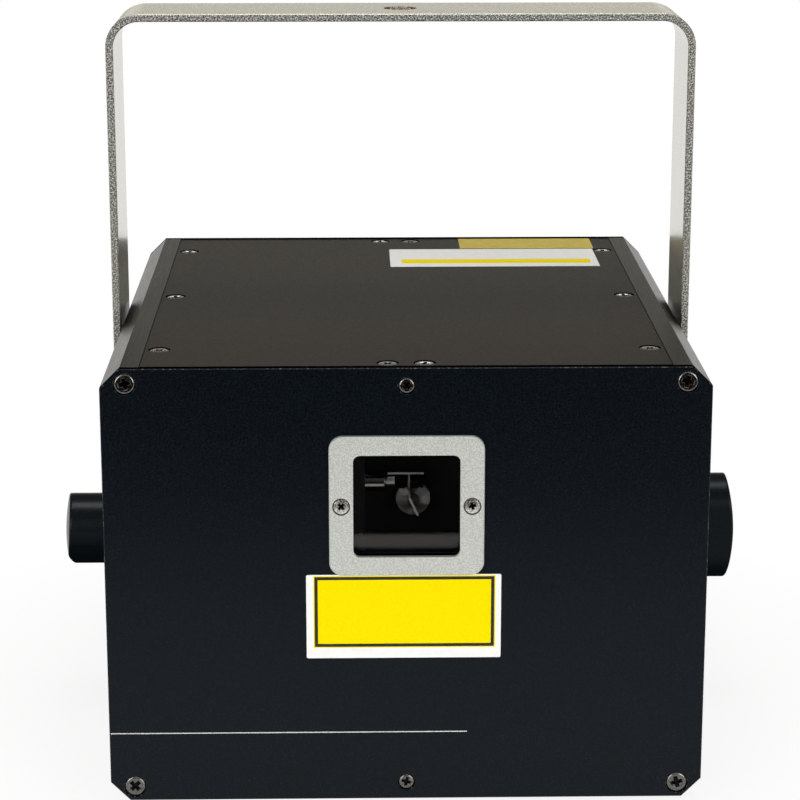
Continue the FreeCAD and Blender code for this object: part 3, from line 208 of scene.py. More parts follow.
behind = add_node(room_tree, "MapRange", direction.outputs["Y"])
behind.inputs["From Min"].default_value = -0.2
behind.inputs["From Max"].default_value = 0.2
sides = add_node(room_tree, "MixRGB", behind.outputs["Result"],
                 over_heights((-0.01, 0.010), (0.02, 0.06), (1.0, 0.20)),
                 over_heights((-0.01, 0.015), (0.0, 1.0), (0.11, 1.0), (0.20, 0.14), (1.0, 0.18)))
studio_light = add_node(room_tree, "Background", sides.outputs["Color"])
choice = add_node(room_tree, "MixShader", add_node(room_tree, "LightPath").outputs["Is Camera Ray"],
                  studio_light.outputs[0], plain_white.outputs[0])
room_tree.links.new(choice.outputs[0], room_tree.nodes["World Output"].inputs["Surface"])
print("room: white to the camera, a studio to the rest")

# %% [markdown]
# Three softboxes do the lighting: a small one above, which draws the single highlight along the top
# of the knobs, and a tall one at each side in front. The sides are known from the scanner motor
# behind the window: its turned front throws one bright fan to the left and one to the right. A lamp
# of P watts at d metres lights a facing white surface fully when P is about 10 d squared, so the
# numbers stay small.

# %% Hang the softboxes


def softbox(name, place, target, size, watts):
    """A rectangular lamp at a place, turned to face a target."""
    lamp = bpy.data.lights.new(name, "AREA")
    lamp.shape = "RECTANGLE"
    lamp.size, lamp.size_y = size
    lamp.energy = watts
    holder = bpy.data.objects.new(name, lamp)
    holder.location = place
    holder.rotation_euler = (Vector(target) - Vector(place)).to_track_quat("-Z", "Y").to_euler()
    scene.collection.objects.link(holder)
    print(name, watts, "W")


softbox("top_softbox", place=(0.0, 0.0, 1.7), target=(0.0, 0.0, 0.0), size=(0.7, 0.6), watts=13.0)
for name, side in (("left_softbox", -1), ("right_softbox", 1)):
    softbox(name, place=(side * 0.95, -1.35, 0.42), target=(0.0, -0.1, 0.10), size=(0.9, 0.8),
            watts=13.4)

# %% [markdown]
# ## Grain
#
# No real surface is one even colour. Noise that reads Object coordinates gives a grain that keeps
# its real size in metres, whatever piece it is on and wherever that piece moves. The same noise can
# set the colour, the roughness and a shallow relief, as it does on a real grained surface, and most
# finishes need no more than that.

# %% Helpers for grained finishes


def shade(material, **sources):
    """Joins outputs to the Principled shader's sockets."""
    shader = material.node_tree.nodes["Principled BSDF"]
    for socket, source in sources.items():
        material.node_tree.links.new(source, shader.inputs[socket.replace("_", " ")])


def grain(material, size, detail=2.0, stretch=(1.0, 1.0, 1.0)):
    """Noise whose spots are about size metres across; stretch makes them longer along an axis."""
    tree = material.node_tree
    place = add_node(tree, "TexCoord").outputs["Object"]
    scaled = add_node(tree, "Mapping", place)
    scaled.inputs["Scale"].default_value = tuple(1.0 / s for s in stretch)
    noise = add_node(tree, "TexNoise", scaled.outputs[0])
    noise.inputs["Scale"].default_value = 1.0 / size
    noise.inputs["Detail"].default_value = detail
    return noise.outputs[0]


def colours(material, value, *stops):
    """A colour ramp over a value, given as pairs of place and colour."""
    ramp = add_node(material.node_tree, "ValToRGB", value)
    elements = ramp.color_ramp.elements
    for place, colour in stops[2:]:
        elements.new(place)
    for element, (place, colour) in zip(elements, stops):
        element.position = place
        element.color = (*colour, 1.0)
    return ramp.outputs["Color"]


def relief(material, height, depth):
    """Bumps of a given depth in metres, from a height between 0 and 1."""
    bump = add_node(material.node_tree, "Bump")
    bump.inputs["Distance"].default_value = depth
    material.node_tree.links.new(height, bump.inputs["Height"])
    shade(material, Normal=bump.outputs["Normal"])


def speckled(name, size, dark, light, rough, depth, stretch=(1.0, 1.0, 1.0), **sockets):
    """A finish with a fine grain: two tones, two roughnesses and a relief, all from the same noise."""
    material = finish(name, **sockets)
    noise = grain(material, size, stretch=stretch)
    shade(material, Base_Color=colours(material, noise, (0.35, dark), (0.65, light)),
          Roughness=spread(material, noise, *rough))
    relief(material, noise, depth)
    return material


def dress(material, *names):
    """Puts a finish on frame pieces, in the slots they came with."""
    for name in names:
        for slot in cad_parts[name].material_slots:
            slot.material = material
    print(material.name, "on", ", ".join(names))


# %% [markdown]
# ## Telling faces from edges
#
# One piece can have several finishes: a plate's face has a faint gloss, its sawn rim none. There is
# no need to paint that by hand, because the direction of the surface tells a face from an edge, and
# the place tells how deep in a hole a point is. Both become a mask from 0 to 1, and a mask blends
# two colours or two numbers.

# %% Helpers for masks
x_axis, y_axis, z_axis = (1, 0, 0), (0, 1, 0), (0, 0, 1)


def measured(material, source, axis, start, end, either_way=True):
    """From 0 to 1, as a place or a direction goes along an axis from start to end.

    The source is "Object" for the place or "Normal" for the direction. With either_way, the length
    along the axis counts without its sign."""
    tree = material.node_tree
    told = add_node(tree, "TexCoord").outputs[source]
    along = add_node(tree, "VectorMath", told, operation="DOT_PRODUCT")
    along.inputs[1].default_value = axis
    value = along.outputs["Value"]
    if either_way:
        value = add_node(tree, "Math", value, operation="ABSOLUTE").outputs[0]
    return spread(material, value, 0.0, 1.0, start, end)


def blend(material, amount, first, second):
    """The first colour or number where the amount is 0, the second where it is 1."""
    return add_node(material.node_tree, "MixRGB", amount, first, second).outputs["Color"]


def product(material, first, second):
    """Two values multiplied; of two masks, what both of them leave."""
    return add_node(material.node_tree, "Math", first, second, operation="MULTIPLY").outputs[0]


def larger(material, first, second):
    """The larger of two values; of two masks, what either of them leaves."""
    return add_node(material.node_tree, "Math", first, second, operation="MAXIMUM").outputs[0]


# %% [markdown]
# ## The black case
#
# The front and rear plates are black anodised aluminium, blasted before the dye, so they have a
# very fine bluish grain with a few lighter specks, and only a faint gloss. Their sawn rims are
# matt, and on the broken edge between face and rim the dye has rubbed off in spots. So there are
# three colours, and the direction of the surface chooses between them: along Y on a face, across it
# on a rim, and halfway on the broken edge.

# %% Finish the end plates
black_anodised = finish("black_anodised")
blasted = grain(black_anodised, 0.0006)
rubbed = grain(black_anodised, 0.0012, detail=4.0)
on_face = measured(black_anodised, "Normal", y_axis, 0.80, 0.95)
off_rim = measured(black_anodised, "Normal", y_axis, 0.20, 0.50)
dyed = colours(black_anodised, blasted,
               (0.54, (0.0006, 0.0021, 0.0043)), (0.70, (0.0036, 0.0100, 0.0150)))
spots = colours(black_anodised, rubbed,
                (0.54, (0.002, 0.003, 0.004)), (0.64, (0.085, 0.082, 0.076)))
rim = colours(black_anodised, blasted,
              (0.35, (0.0006, 0.0008, 0.0014)), (0.65, (0.0016, 0.0020, 0.0030)))
edges = blend(black_anodised, off_rim, rim, spots)
shade(black_anodised, Base_Color=blend(black_anodised, on_face, edges, dyed),
      Roughness=spread(black_anodised, blasted, 0.26, 0.34),
      Specular_IOR_Level=spread(black_anodised, off_rim, 0.0, 0.16, start=0.0, end=1.0))
relief(black_anodised, blasted, 0.000004)
dress(black_anodised, "front_plate", "rear_plate")

# %% [markdown]
# The side walls are extruded and then dyed: die lines run along them, which a noise stretched forty
# times along Y gives. The cover and the bottom are sheet with a warm black powder coat. Their
# narrow edges and the countersinks of their screws are matt, and their colour is painted near black
# as painted shade for the shadow in the gaps, so that each head stands in a thin black ring.

# %% Finish the side walls and the cover
profile_black = speckled("profile_black", size=0.00050, dark=(0.0066, 0.0052, 0.0040),
                         light=(0.0092, 0.0076, 0.0062), rough=(0.26, 0.33), depth=0.000003,
                         stretch=(1.0, 40.0, 1.0), Specular_IOR_Level=0.26)
cover_black = finish("cover_black")
powder = grain(cover_black, 0.0011)
level_face = measured(cover_black, "Normal", z_axis, 0.75, 0.9)
coated = colours(cover_black, powder,
                 (0.40, (0.0050, 0.0022, 0.0010)), (0.60, (0.0160, 0.0106, 0.0084)))
# Painted shade: narrow edges and countersink slopes are coloured near black for the shadow in the gaps.
edge_painted_shade = colours(cover_black, powder,
                   (0.35, (0.0006, 0.0006, 0.0007)), (0.65, (0.0014, 0.0014, 0.0015)))
shade(cover_black, Base_Color=blend(cover_black, level_face, edge_painted_shade, coated),
      Roughness=spread(cover_black, powder, 0.32, 0.42),
      Specular_IOR_Level=spread(cover_black, level_face, 0.0, 0.14, start=0.0, end=1.0))
relief(cover_black, powder, 0.00003)
dress(profile_black, "left_side_profile", "right_side_profile")
dress(cover_black, "top_cover", "bottom_plate")

# %% [markdown]
# ## The bracket
#
# The bracket is bent from a bare rolled strip. Its wide faces are satin, with faint streaks along
# the strip from the rolls: a noise stretched along X and Z, but not across the strip, runs round
# the bends with it. They mirror what is around them softly: white above, the black case below. Its
# narrow edges were sheared, so they are torn and sparkle. The direction of the surface tells the
# two apart: where it points along Y, the coarse grain of the cut takes over. The drilled holes
# point that way too, but they are near the strip's middle and stay bright.

# %% Finish the bracket
holes_end, edges_start = 0.012, 0.014

bracket_metal = finish("bracket_metal", Metallic=1.0)
fine = grain(bracket_metal, 0.0006)
streaks = grain(bracket_metal, 0.0022, detail=3.0, stretch=(14.0, 1.0, 14.0))
torn = grain(bracket_metal, 0.0006, detail=4.0)
cut_edge = product(bracket_metal, measured(bracket_metal, "Normal", y_axis, 0.55, 0.80),
                   measured(bracket_metal, "Object", y_axis, holes_end, edges_start))
rolled = colours(bracket_metal, streaks, (0.3, (0.53, 0.50, 0.44)), (0.7, (0.59, 0.56, 0.495)))
sheared = colours(bracket_metal, torn, (0.38, (0.08, 0.078, 0.072)), (0.50, (0.27, 0.265, 0.24)),
                  (0.62, (0.74, 0.72, 0.67)))
shade(bracket_metal, Base_Color=blend(bracket_metal, cut_edge, rolled, sheared),
      Roughness=blend(bracket_metal, cut_edge, spread(bracket_metal, fine, 0.15, 0.26),
                      spread(bracket_metal, torn, 0.60, 0.85)))
relief(bracket_metal, product(bracket_metal, torn, cut_edge), 0.00004)
dress(bracket_metal, "mounting_bracket")

# %% [markdown]
# ## The bezel
#
# The bezel is blasted aluminium, an even pale grain. Only its two countersinks are coloured near black
# as painted shade for the shadow round the screws: there the surface slopes and is within four
# millimetres of a screw. The two screws mirror each other, so one distance, taken from the absolute
# place, does for both.

# %% Finish the bezel
bezel_low, bezel_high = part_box("window_bezel")
screws_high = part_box("bezel_screws")[1]
head_radius = 0.00275
painted_shade_end, unshaded_start = 0.0040, 0.0042

bezel_metal = finish("bezel_metal", Metallic=0.4)
blast = grain(bezel_metal, 0.0004)
bezel_tree = bezel_metal.node_tree
bezel_place = add_node(bezel_tree, "TexCoord").outputs["Object"]
mirrored = add_node(bezel_tree, "VectorMath", bezel_place, operation="ABSOLUTE")
from_screw = add_node(bezel_tree, "VectorMath", mirrored.outputs[0], operation="DISTANCE")
from_screw.inputs[1].default_value = (screws_high[0] - head_radius, -bezel_low[1],
                                      (bezel_low[2] + bezel_high[2]) / 2)
unshaded = spread(bezel_metal, from_screw.outputs["Value"], 0.0, 1.0, start=painted_shade_end, end=unshaded_start)
outer_face = measured(bezel_metal, "Normal", y_axis, 0.80, 0.95)
pale = colours(bezel_metal, blast, (0.40, (0.44, 0.45, 0.42)), (0.60, (0.64, 0.65, 0.61)))
# Painted shade: the sloping walls near each screw are coloured near black for their shadow.
countersink_shade = colours(bezel_metal, blast, (0.36, (0.045, 0.045, 0.042)), (0.64, (0.075, 0.075, 0.07)))
slopes = blend(bezel_metal, unshaded, countersink_shade, pale)
shade(bezel_metal, Base_Color=blend(bezel_metal, outer_face, slopes, pale),
      Roughness=spread(bezel_metal, blast, 0.42, 0.56))
relief(bezel_metal, blast, 0.00003)
dress(bezel_metal, "window_bezel")

# %% [markdown]
# ## The window
#
# The pane is clear, so nearly everything behind it shows and only the mirror image at its surface
# is its own. An Alpha of a tenth lets the light through to the scanner. It also thins that mirror
# image to a tenth, so a high index of refraction makes up for it: both faces together mirror the
# usual twenty-fifth.

# %% Finish the glass
window_glass = finish("window_glass", Base_Color=(0.001, 0.001, 0.002, 1.0), Alpha=0.10, IOR=2.0,
                      Specular_IOR_Level=1.0, Specular_Tint=(1.0, 0.95, 0.88, 1.0))
shade(window_glass, Roughness=spread(window_glass, grain(window_glass, 0.006), 0.01, 0.03))
dress(window_glass, "window_glass")

# %% [markdown]
# ## The knobs
#
# The knobs are a dark plastic with a fine grain from their mould, dull all round and polished a
# little by hands on top and at their ends. A Specular IOR Level of 0 leaves no mirror image at all,
# not even at a flat angle, so the white floor doesn't show on their undersides.

# %% Finish the knobs
knob_plastic = speckled("knob_plastic", size=0.0005, dark=(0.0034, 0.0056, 0.0074),
                        light=(0.0056, 0.0088, 0.0112), rough=(0.26, 0.34), depth=0.000006)
polished_top = measured(knob_plastic, "Normal", (0, -0.35, 0.94), -0.10, 0.75, either_way=False)
polished_end = measured(knob_plastic, "Normal", x_axis, 0.80, 0.95)
handled = larger(knob_plastic, polished_top, polished_end)
shade(knob_plastic, Specular_IOR_Level=spread(knob_plastic, handled, 0.0, 0.14, start=0.0, end=1.0))
dress(knob_plastic, "left_knob", "right_knob")

# %% [markdown]
# ## Other plastics, rubber and boards
#
# Moulded pieces differ in the grain of their moulds and in their gloss. The rocker is a glossy red,
# the display's pane is smooth, the sockets, the fan and the buttons are grained, and the feet, the
# gasket and the friction washers are dull rubber. Two tones, two roughnesses and a depth tell each
# of them, so one helper makes them all.

# %% Finish the moulded pieces
black_plastic = speckled("black_plastic", size=0.0005, dark=(0.010, 0.010, 0.011),
                         light=(0.018, 0.018, 0.019), rough=(0.38, 0.52), depth=0.000015)
red_plastic = speckled("red_plastic", size=0.0008, dark=(0.42, 0.015, 0.010),
                       light=(0.50, 0.022, 0.014), rough=(0.25, 0.35), depth=0.000008)
button_plastic = speckled("button_plastic", size=0.0005, dark=(0.055, 0.056, 0.058),
                          light=(0.075, 0.076, 0.078), rough=(0.40, 0.55), depth=0.000015)
display_lens = speckled("display_lens", size=0.004, dark=(0.004, 0.006, 0.008),
                        light=(0.007, 0.009, 0.011), rough=(0.06, 0.10), depth=0.000002)
rubber = speckled("rubber", size=0.0006, dark=(0.010, 0.010, 0.010), light=(0.020, 0.020, 0.020),
                  rough=(0.65, 0.85), depth=0.00003)
circuit_board = speckled("circuit_board", size=0.002, dark=(0.010, 0.060, 0.022),
                         light=(0.016, 0.085, 0.032), rough=(0.35, 0.50), depth=0.00002)
dress(black_plastic, "fan_frame", "fan_rotor", "power_inlet", "signal_input_socket",
      "signal_output_socket")
dress(red_plastic, "power_rocker")
dress(button_plastic, "mode_button", "down_button", "up_button", "enter_button")
dress(display_lens, "display_window")
dress(rubber, "rubber_feet", "window_gasket", "friction_washers")
dress(circuit_board, "scan_driver_board", "control_board")

# %% [markdown]
# ## Screws
#
# The end plates' screws are black zinc, a dark metal that mirrors its surroundings dimly: the lower
# heads mirror the white floor and look grey, the upper ones mirror the dark room and look black.
# The bezel's and the cover's are bright, and screwdrivers have left marks on them that sparkle. On
# every head the sloping edges are rubbed: there the metal is half dull, so that it catches the
# lamps as a thin line round the head and the cross. Down in the cross, and wherever else a head
# lies deeper than a set depth below its top, the colour is painted near black as painted shade;
# the depth below the head tells where.

# %% Finish the screws
front_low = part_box("front_plate")[0]
cover_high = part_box("top_cover")[1]
head_sink = 0.0003


def screw_metal(name, axis, surface, dark_from, dark_to, tone, rough, edge, dents):
    """Metal for sunk screw heads: dull on sloping edges, and painted dark deep in the cross as painted
    shade.

    The axis points along the screws and surface is the place of their heads on it. Between the two
    depths below it the colour turns near black, a painted shade for the recess. Tone and edge are the
    colours of heads and edges, and dents is the depth of the marks that tools have left."""
    material = finish(name)
    wear = grain(material, 0.0005)
    head, rubbed_edge = (colours(material, wear, (0.3, tuple(0.6 * c for c in colour)),
                                 (0.7, tuple(1.4 * c for c in colour))) for colour in (tone, edge))
    # Painted shade: deeper than the given depths the colour is near black, for the shadow in the
    # recess.
    painted_recess_shade = colours(material, wear, (0.3, (0.004, 0.004, 0.004)), (0.7, (0.012, 0.012, 0.012)))
    level = measured(material, "Normal", axis, 0.86, 0.97)
    in_light = measured(material, "Object", axis, surface - dark_to, surface - dark_from)
    outside = blend(material, level, rubbed_edge, head)
    shade(material, Base_Color=blend(material, in_light, painted_recess_shade, outside),
          Metallic=spread(material, level, 0.5, 1.0, start=0.0, end=1.0),
          Roughness=spread(material, wear, *rough))
    relief(material, wear, dents)
    return material


black_screw = screw_metal("black_screw", axis=y_axis, surface=abs(front_low[1]) - head_sink,
                          dark_from=0.0002, dark_to=0.0004, tone=(0.135, 0.13, 0.12),
                          rough=(0.14, 0.22), edge=(0.22, 0.21, 0.195), dents=0.000008)
cover_screw = screw_metal("cover_screw", axis=z_axis, surface=cover_high[2], dark_from=0.00020,
                          dark_to=0.00032, tone=(0.60, 0.58, 0.54), rough=(0.20, 0.30),
                          edge=(0.50, 0.48, 0.45), dents=0.00005)
bezel_screw = screw_metal("bezel_screw", axis=y_axis, surface=-bezel_low[1], dark_from=0.0004,
                          dark_to=0.0006, tone=(0.56, 0.55, 0.50), rough=(0.20, 0.30),
                          edge=(0.60, 0.58, 0.53), dents=0.00005)
dress(black_screw, "front_plate_screws", "rear_plate_screws")
dress(cover_screw, "top_cover_screws")
dress(bezel_screw, "bezel_screws")

# %% [markdown]
# The rest of the hardware is plain: zinc on studs, washers and the screws that are seldom looked
# at, chrome on the fan's guard and the two round fittings of the rear plate, and brass where
# something turns in a thread or a lock. Each is a metal with a grain of its own.

# %% Finish the fittings
plated_steel = speckled("plated_steel", size=0.0006, dark=(0.48, 0.48, 0.47),
                        light=(0.60, 0.60, 0.58), rough=(0.25, 0.40), depth=0.00001, Metallic=1.0)
chrome = speckled("chrome", size=0.003, dark=(0.68, 0.68, 0.70), light=(0.74, 0.74, 0.76),
                  rough=(0.06, 0.14), depth=0.000003, Metallic=1.0)
brass = speckled("brass", size=0.0006, dark=(0.56, 0.40, 0.17), light=(0.66, 0.49, 0.22),
                 rough=(0.25, 0.40), depth=0.00001, Metallic=1.0)
dress(plated_steel, "bottom_plate_screws", "fan_screws", "foot_screws", "knob_washers",
      "left_knob_stud", "right_knob_stud", "optics_pillars", "scan_signal_socket")
dress(chrome, "fan_guard", "key_switch", "interlock_socket")
dress(brass, "pivot_inserts", "lock_plug")

# %% [markdown]
# ## The scanner
#
# Stray light is a laser projector's enemy, so everything round the beam is dull black. Only the
# scanner motors and the mirrors stand out. The first motor's front was faced on a lathe: its tool
# left rings too fine to see, which scatter light outwards from the axis and so mirror the side
# lamps as bright fans. An anisotropic shader does the same when its tangent points away from the
# axis. The second motor lies across the window, and its smooth body mirrors the white floor as one
# bright band. The first rotor is dark steel, the second a paler metal.

# %% Finish the scanner motors
scanner_black = speckled("scanner_black", size=0.0006, dark=(0.0010, 0.0012, 0.0018),
                         light=(0.0024, 0.0030, 0.0040), rough=(0.5, 0.65), depth=0.00001,
                         Specular_IOR_Level=0.1)
motor_body = speckled("motor_body", size=0.0006, dark=(0.20, 0.195, 0.18),
                      light=(0.26, 0.255, 0.235), rough=(0.08, 0.14), depth=0.000002, Metallic=1.0)
galvo_metal = speckled("galvo_metal", size=0.0006, dark=(0.30, 0.29, 0.27),
                       light=(0.44, 0.43, 0.40), rough=(0.26, 0.36), depth=0.00001, Metallic=1.0)
rotor_steel = speckled("rotor_steel", size=0.0006, dark=(0.030, 0.029, 0.027),
                       light=(0.060, 0.058, 0.054), rough=(0.30, 0.42), depth=0.00001, Metallic=1.0)

galvo_low, galvo_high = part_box("x_galvo")
turned_metal = finish("turned_metal", Metallic=1.0, Anisotropic=0.96)
galvo_tree = turned_metal.node_tree
galvo_place = add_node(galvo_tree, "TexCoord").outputs["Object"]
off_axis = add_node(galvo_tree, "VectorMath", galvo_place, operation="SUBTRACT")
off_axis.inputs[1].default_value = ((galvo_low[0] + galvo_high[0]) / 2, 0.0,
                                    (galvo_low[2] + galvo_high[2]) / 2)
flattened = add_node(galvo_tree, "VectorMath", off_axis.outputs[0], operation="MULTIPLY")
flattened.inputs[1].default_value = (1.0, 0.0, 1.0)
outwards = add_node(galvo_tree, "VectorMath", flattened.outputs[0], operation="NORMALIZE")
tool_marks = grain(turned_metal, 0.0006)
faced = colours(turned_metal, tool_marks, (0.3, (0.19, 0.185, 0.17)), (0.7, (0.25, 0.245, 0.23)))
shade(turned_metal, Base_Color=faced, Tangent=outwards.outputs[0],
      Roughness=spread(turned_metal, tool_marks, 0.30, 0.38))
dress(scanner_black, "scanner_block")
dress(turned_metal, "x_galvo")
dress(motor_body, "y_galvo")
dress(galvo_metal, "y_scan_rotor")
dress(rotor_steel, "x_scan_rotor")

# %% [markdown]
# ## Mirrors and optics
#
# The scanner's mirrors are silvered on their faces only, and their thin edges are ground glass, so
# a face is told from an edge by its direction. At rest the first mirror is turned by 25 degrees
# about Y and the second is tilted by 45 degrees about X. Behind them, out of sight, are coloured
# mirrors that join three laser beams into one, a silver one that turns the joined beam, black
# mounts and the tin box of the power supply.

# %% Finish the mirrors and the optics
x_turn, y_tilt = math.radians(25.0), math.radians(45.0)


def silvered(name, direction):
    """A mirror whose faces look along a direction, with ground edges."""
    material = finish(name)
    haze = grain(material, 0.002)
    face = measured(material, "Normal", direction, 0.5, 0.8)
    ground = colours(material, haze, (0.3, (0.20, 0.185, 0.165)), (0.7, (0.28, 0.265, 0.24)))
    silver = colours(material, haze, (0.3, (0.80, 0.82, 0.84)), (0.7, (0.84, 0.86, 0.88)))
    shade(material, Base_Color=blend(material, face, ground, silver), Metallic=face,
          Roughness=blend(material, face, spread(material, haze, 0.55, 0.70),
                          spread(material, haze, 0.02, 0.04)))
    return material


x_mirror_coat = silvered("x_mirror_coat", (math.cos(x_turn), 0.0, math.sin(x_turn)))
y_mirror_coat = silvered("y_mirror_coat", (0.0, math.sin(y_tilt), math.cos(y_tilt)))
mirror_coat = speckled("mirror_coat", size=0.002, dark=(0.80, 0.82, 0.84), light=(0.84, 0.86, 0.88),
                       rough=(0.02, 0.04), depth=0.0000005, Metallic=1.0)
dichroic_coat = speckled("dichroic_coat", size=0.002, dark=(0.30, 0.10, 0.40),
                         light=(0.36, 0.14, 0.46), rough=(0.03, 0.05), depth=0.0000005)
optics_black = speckled("optics_black", size=0.0006, dark=(0.004, 0.004, 0.0045),
                        light=(0.008, 0.008, 0.0085), rough=(0.45, 0.60), depth=0.00002,
                        Specular_IOR_Level=0.2)
sheet_metal = speckled("sheet_metal", size=0.001, dark=(0.45, 0.45, 0.44), light=(0.55, 0.55, 0.54),
                       rough=(0.35, 0.50), depth=0.00001, Metallic=1.0)
dress(x_mirror_coat, "x_scan_mirror")
dress(y_mirror_coat, "y_scan_mirror")
dress(mirror_coat, "turning_mirror")
dress(dichroic_coat, "dichroic_mirrors")
dress(optics_black, "optics_plate", "mirror_mounts", "red_laser", "green_laser", "blue_laser",
      "centre_blocks")
dress(sheet_metal, "power_supply")

# %% [markdown]
# ## The printed and glued things
#
# A blank label sits under the window and two more on the cover, and a thin white line is printed
# low across the front plate. Each is a thin sheet with rounded corners. Its outline is worked out
# as one array: the angle of a point gives the corner that it belongs to and its place on that
# corner's arc. Rings of that outline, at shares of its size and at rising heights, make a closed
# sheet with a soft edge.

# %% Helpers that work out outlines and shells


def rounded_outline(width, height, corner, steps=6):
    """Points of a rectangle with rounded corners about the origin, anticlockwise, as two columns.

    Every corner has its own quarter of the angles; a point is the corner arc's middle plus the arc's
    radius along its angle."""
    quarter = np.repeat(np.arange(4), steps)
    angle = (quarter + np.tile(np.linspace(0.0, 1.0, steps), 4)) * math.pi / 2
    diagonal = (quarter + 0.5) * math.pi / 2
    side = np.sign(np.stack([np.cos(diagonal), np.sin(diagonal)], axis=-1))
    middle = side * (np.array([width, height]) / 2 - corner)
    return middle + corner * np.stack([np.cos(angle), np.sin(angle)], axis=-1)


def closed_rings(rings, closed_ends):
    """Points and faces of a shell: rings (rows x around x 3) joined in order.

    With closed ends, a middle point closes the first ring and another the last. Otherwise the last
    ring is joined to the first, which makes a loop."""
    rows, around = rings.shape[:2]
    here = np.arange(around)
    beside = np.roll(here, -1)
    base = (np.arange(rows - 1 if closed_ends else rows) * around)[:, None]
    above = (base + around) % (rows * around)
    walls = np.stack([base + here, base + beside, above + beside, above + here], axis=-1)
    walls = walls.reshape(-1, 4).tolist()
    points = rings.reshape(-1, 3)
    if closed_ends:
        top = (rows - 1) * around
        first_middle = np.full(around, rows * around)
        last_middle = first_middle + 1
        fans = np.vstack([np.stack([first_middle, beside, here], axis=-1),
                          np.stack([last_middle, top + here, top + beside], axis=-1)])
        points = np.vstack([points, rings[0].mean(axis=0), rings[-1].mean(axis=0)])
        walls += fans.tolist()
    return points, walls


def place_on(surface, across, up, level):
    """Flat points and their levels over a surface, as points in space.

    A surface is its origin and its directions across, up and out; a point is the origin plus its
    lengths along them."""
    origin, right, rise_along, out = (np.array(v) for v in surface)
    return origin + across[..., None] * right + up[..., None] * rise_along + level[..., None] * out


# %% [markdown]
# A finished piece is an object at the origin with its place in its mesh, and it rides on a body of
# the frame, so that it goes where the body goes. A sheet is three rings: the foot of its edge, most
# of the way up, and the rim of its top, drawn in a little. A printed border is a loop of four
# rings: outside low and high, inside high and low.

# %% Helpers that make thin sheets


def make_piece(name, points, faces, material, body):
    """A mesh object at the origin, with its place in its points, that rides on a body of the frame."""
    mesh = bpy.data.meshes.new(name)
    mesh.from_pydata(points.tolist(), [], faces)
    shell = bmesh.new()
    shell.from_mesh(mesh)
    bmesh.ops.recalc_face_normals(shell, faces=shell.faces)
    shell.to_mesh(mesh)
    shell.free()
    mesh.materials.append(material)
    piece = bpy.data.objects.new(name, mesh)
    scene.collection.objects.link(piece)
    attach(piece, body)
    print(name, "faces:", len(mesh.polygons))
    return piece


def sheet(name, surface, material, left, right, low, high, corner, base, top):
    """A thin sheet on a surface, from level base to level top, whose edge falls over its thickness.

    Three rings: the outline at the base and most of the way up, and a little smaller at the top."""
    middle = np.array([(left + right) / 2, (low + high) / 2])
    outline = rounded_outline(right - left, high - low, corner) + middle
    centre = outline.mean(axis=0)
    # The top is drawn in by 0.3 of the thickness all round, and by no more than a fifth.
    inset = min(0.3 * (top - base) / min(right - left, high - low) * 2, 0.2)
    share = np.array([1.0, 1.0, 1.0 - inset])[:, None, None]
    shoulder = base + 0.7 * (top - base)
    level = np.broadcast_to(np.array([base, shoulder, top])[:, None], (3, len(outline)))
    flat = centre + share * (outline - centre)
    points, faces = closed_rings(place_on(surface, flat[..., 0], flat[..., 1], level), True)
    return make_piece(name, points, faces, material, "housing")


def frame_line(name, surface, material, left, right, low, high, corner, width, base, top):
    """A printed line round a rounded rectangle: an outer and an inner outline, joined at two levels."""
    middle = np.array([(left + right) / 2, (low + high) / 2])
    outer = rounded_outline(right - left, high - low, corner) + middle
    inner_corner = max(corner - width, 0.0001)
    inner = rounded_outline(right - left - 2 * width, high - low - 2 * width, inner_corner) + middle
    flat = np.stack([outer, outer, inner, inner])
    level = np.broadcast_to(np.array([base, top, top, base])[:, None], flat.shape[:2])
    points, faces = closed_rings(place_on(surface, flat[..., 0], flat[..., 1], level), False)
    return make_piece(name, points, faces, material, "housing")


# %% [markdown]
# Labels are coated paper with a soft sheen, and print is a duller ink. Each has a grain of its own.

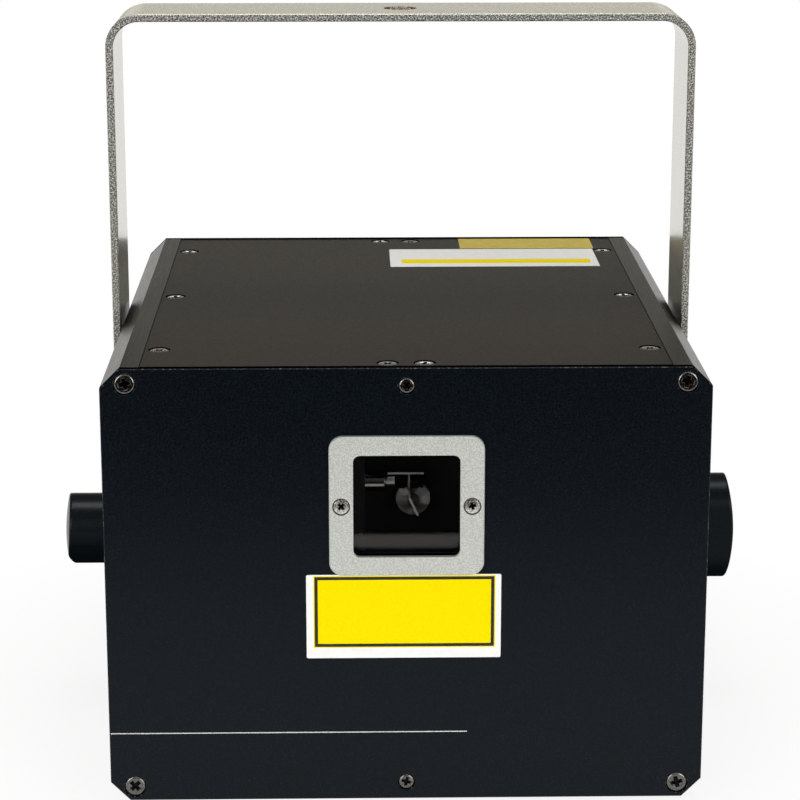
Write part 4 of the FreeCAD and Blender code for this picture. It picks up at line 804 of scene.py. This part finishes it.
# %% Colour the labels and the print
label_white = speckled("label_white", size=0.0030, dark=(0.86, 0.86, 0.84),
                       light=(0.90, 0.90, 0.885), rough=(0.42, 0.52), depth=0.000006,
                       Specular_IOR_Level=0.15)
label_yellow = speckled("label_yellow", size=0.0008, dark=(0.90, 0.71, 0.0004),
                        light=(0.94, 0.75, 0.0010), rough=(0.42, 0.52), depth=0.000002,
                        Specular_IOR_Level=0.02)
label_gold = speckled("label_gold", size=0.0030, dark=(0.56, 0.44, 0.080),
                      light=(0.66, 0.52, 0.110), rough=(0.42, 0.52), depth=0.000006,
                      Specular_IOR_Level=0.20)
print_black = speckled("print_black", size=0.0020, dark=(0.018, 0.018, 0.018),
                       light=(0.030, 0.030, 0.030), rough=(0.45, 0.60), depth=0.000006,
                       Specular_IOR_Level=0.15)
print_white = speckled("print_white", size=0.0010, dark=(0.56, 0.57, 0.55),
                       light=(0.70, 0.71, 0.69), rough=(0.50, 0.65), depth=0.000008,
                       Specular_IOR_Level=0.15)
print("label colours:", label_white.name, label_yellow.name, label_gold.name)

# %% [markdown]
# The surfaces to put them on come from the frame: the front plate's outer face and the cover's top.
# Lengths across and up are those of the part, so a label's place can be read straight from the
# photograph's fit.

# %% Print and glue
front_surface = ((0.0, front_low[1], 0.0), x_axis, z_axis, (0, -1, 0))
cover_surface = ((0.0, 0.0, cover_high[2]), x_axis, y_axis, z_axis)
paper, ink = 0.00012, 0.00002
paper_corner, print_corner, line_corner = 0.0006, 0.0002, 0.0001
line_margin, label_margin = 0.0005, 0.0008

sheet("front_label", front_surface, label_white,
      left=-0.0367, right=0.0346, low=0.0605, high=0.0927,
      corner=paper_corner, base=0.0, top=paper)
sheet("front_label_field", front_surface, label_yellow,
      left=-0.0341, right=0.0325, low=0.0645, high=0.0923,
      corner=print_corner, base=paper - ink, top=paper + ink)
frame_line("front_label_border", front_surface, print_black,
           left=-0.0337, right=0.0321, low=0.0649, high=0.0919,
           corner=print_corner, width=0.0012, base=paper, top=paper + 2 * ink)
sheet("front_line", front_surface, print_white,
      left=front_low[0] + line_margin, right=0.0224, low=0.03114, high=0.03152,
      corner=line_corner, base=0.0, top=ink)
sheet("cover_label", cover_surface, label_white,
      left=-0.0030, right=0.0863, low=0.0575, high=0.0948,
      corner=paper_corner, base=0.0, top=paper)
sheet("cover_label_stripe", cover_surface, label_yellow,
      left=0.0020, right=0.0830, low=0.0640, high=0.0725,
      corner=print_corner, base=paper - ink, top=paper + ink)
sheet("cover_label_rear", cover_surface, label_gold,
      left=0.0282, right=0.0870, low=0.0965, high=cover_high[1] - label_margin,
      corner=paper_corner, base=0.0, top=paper)
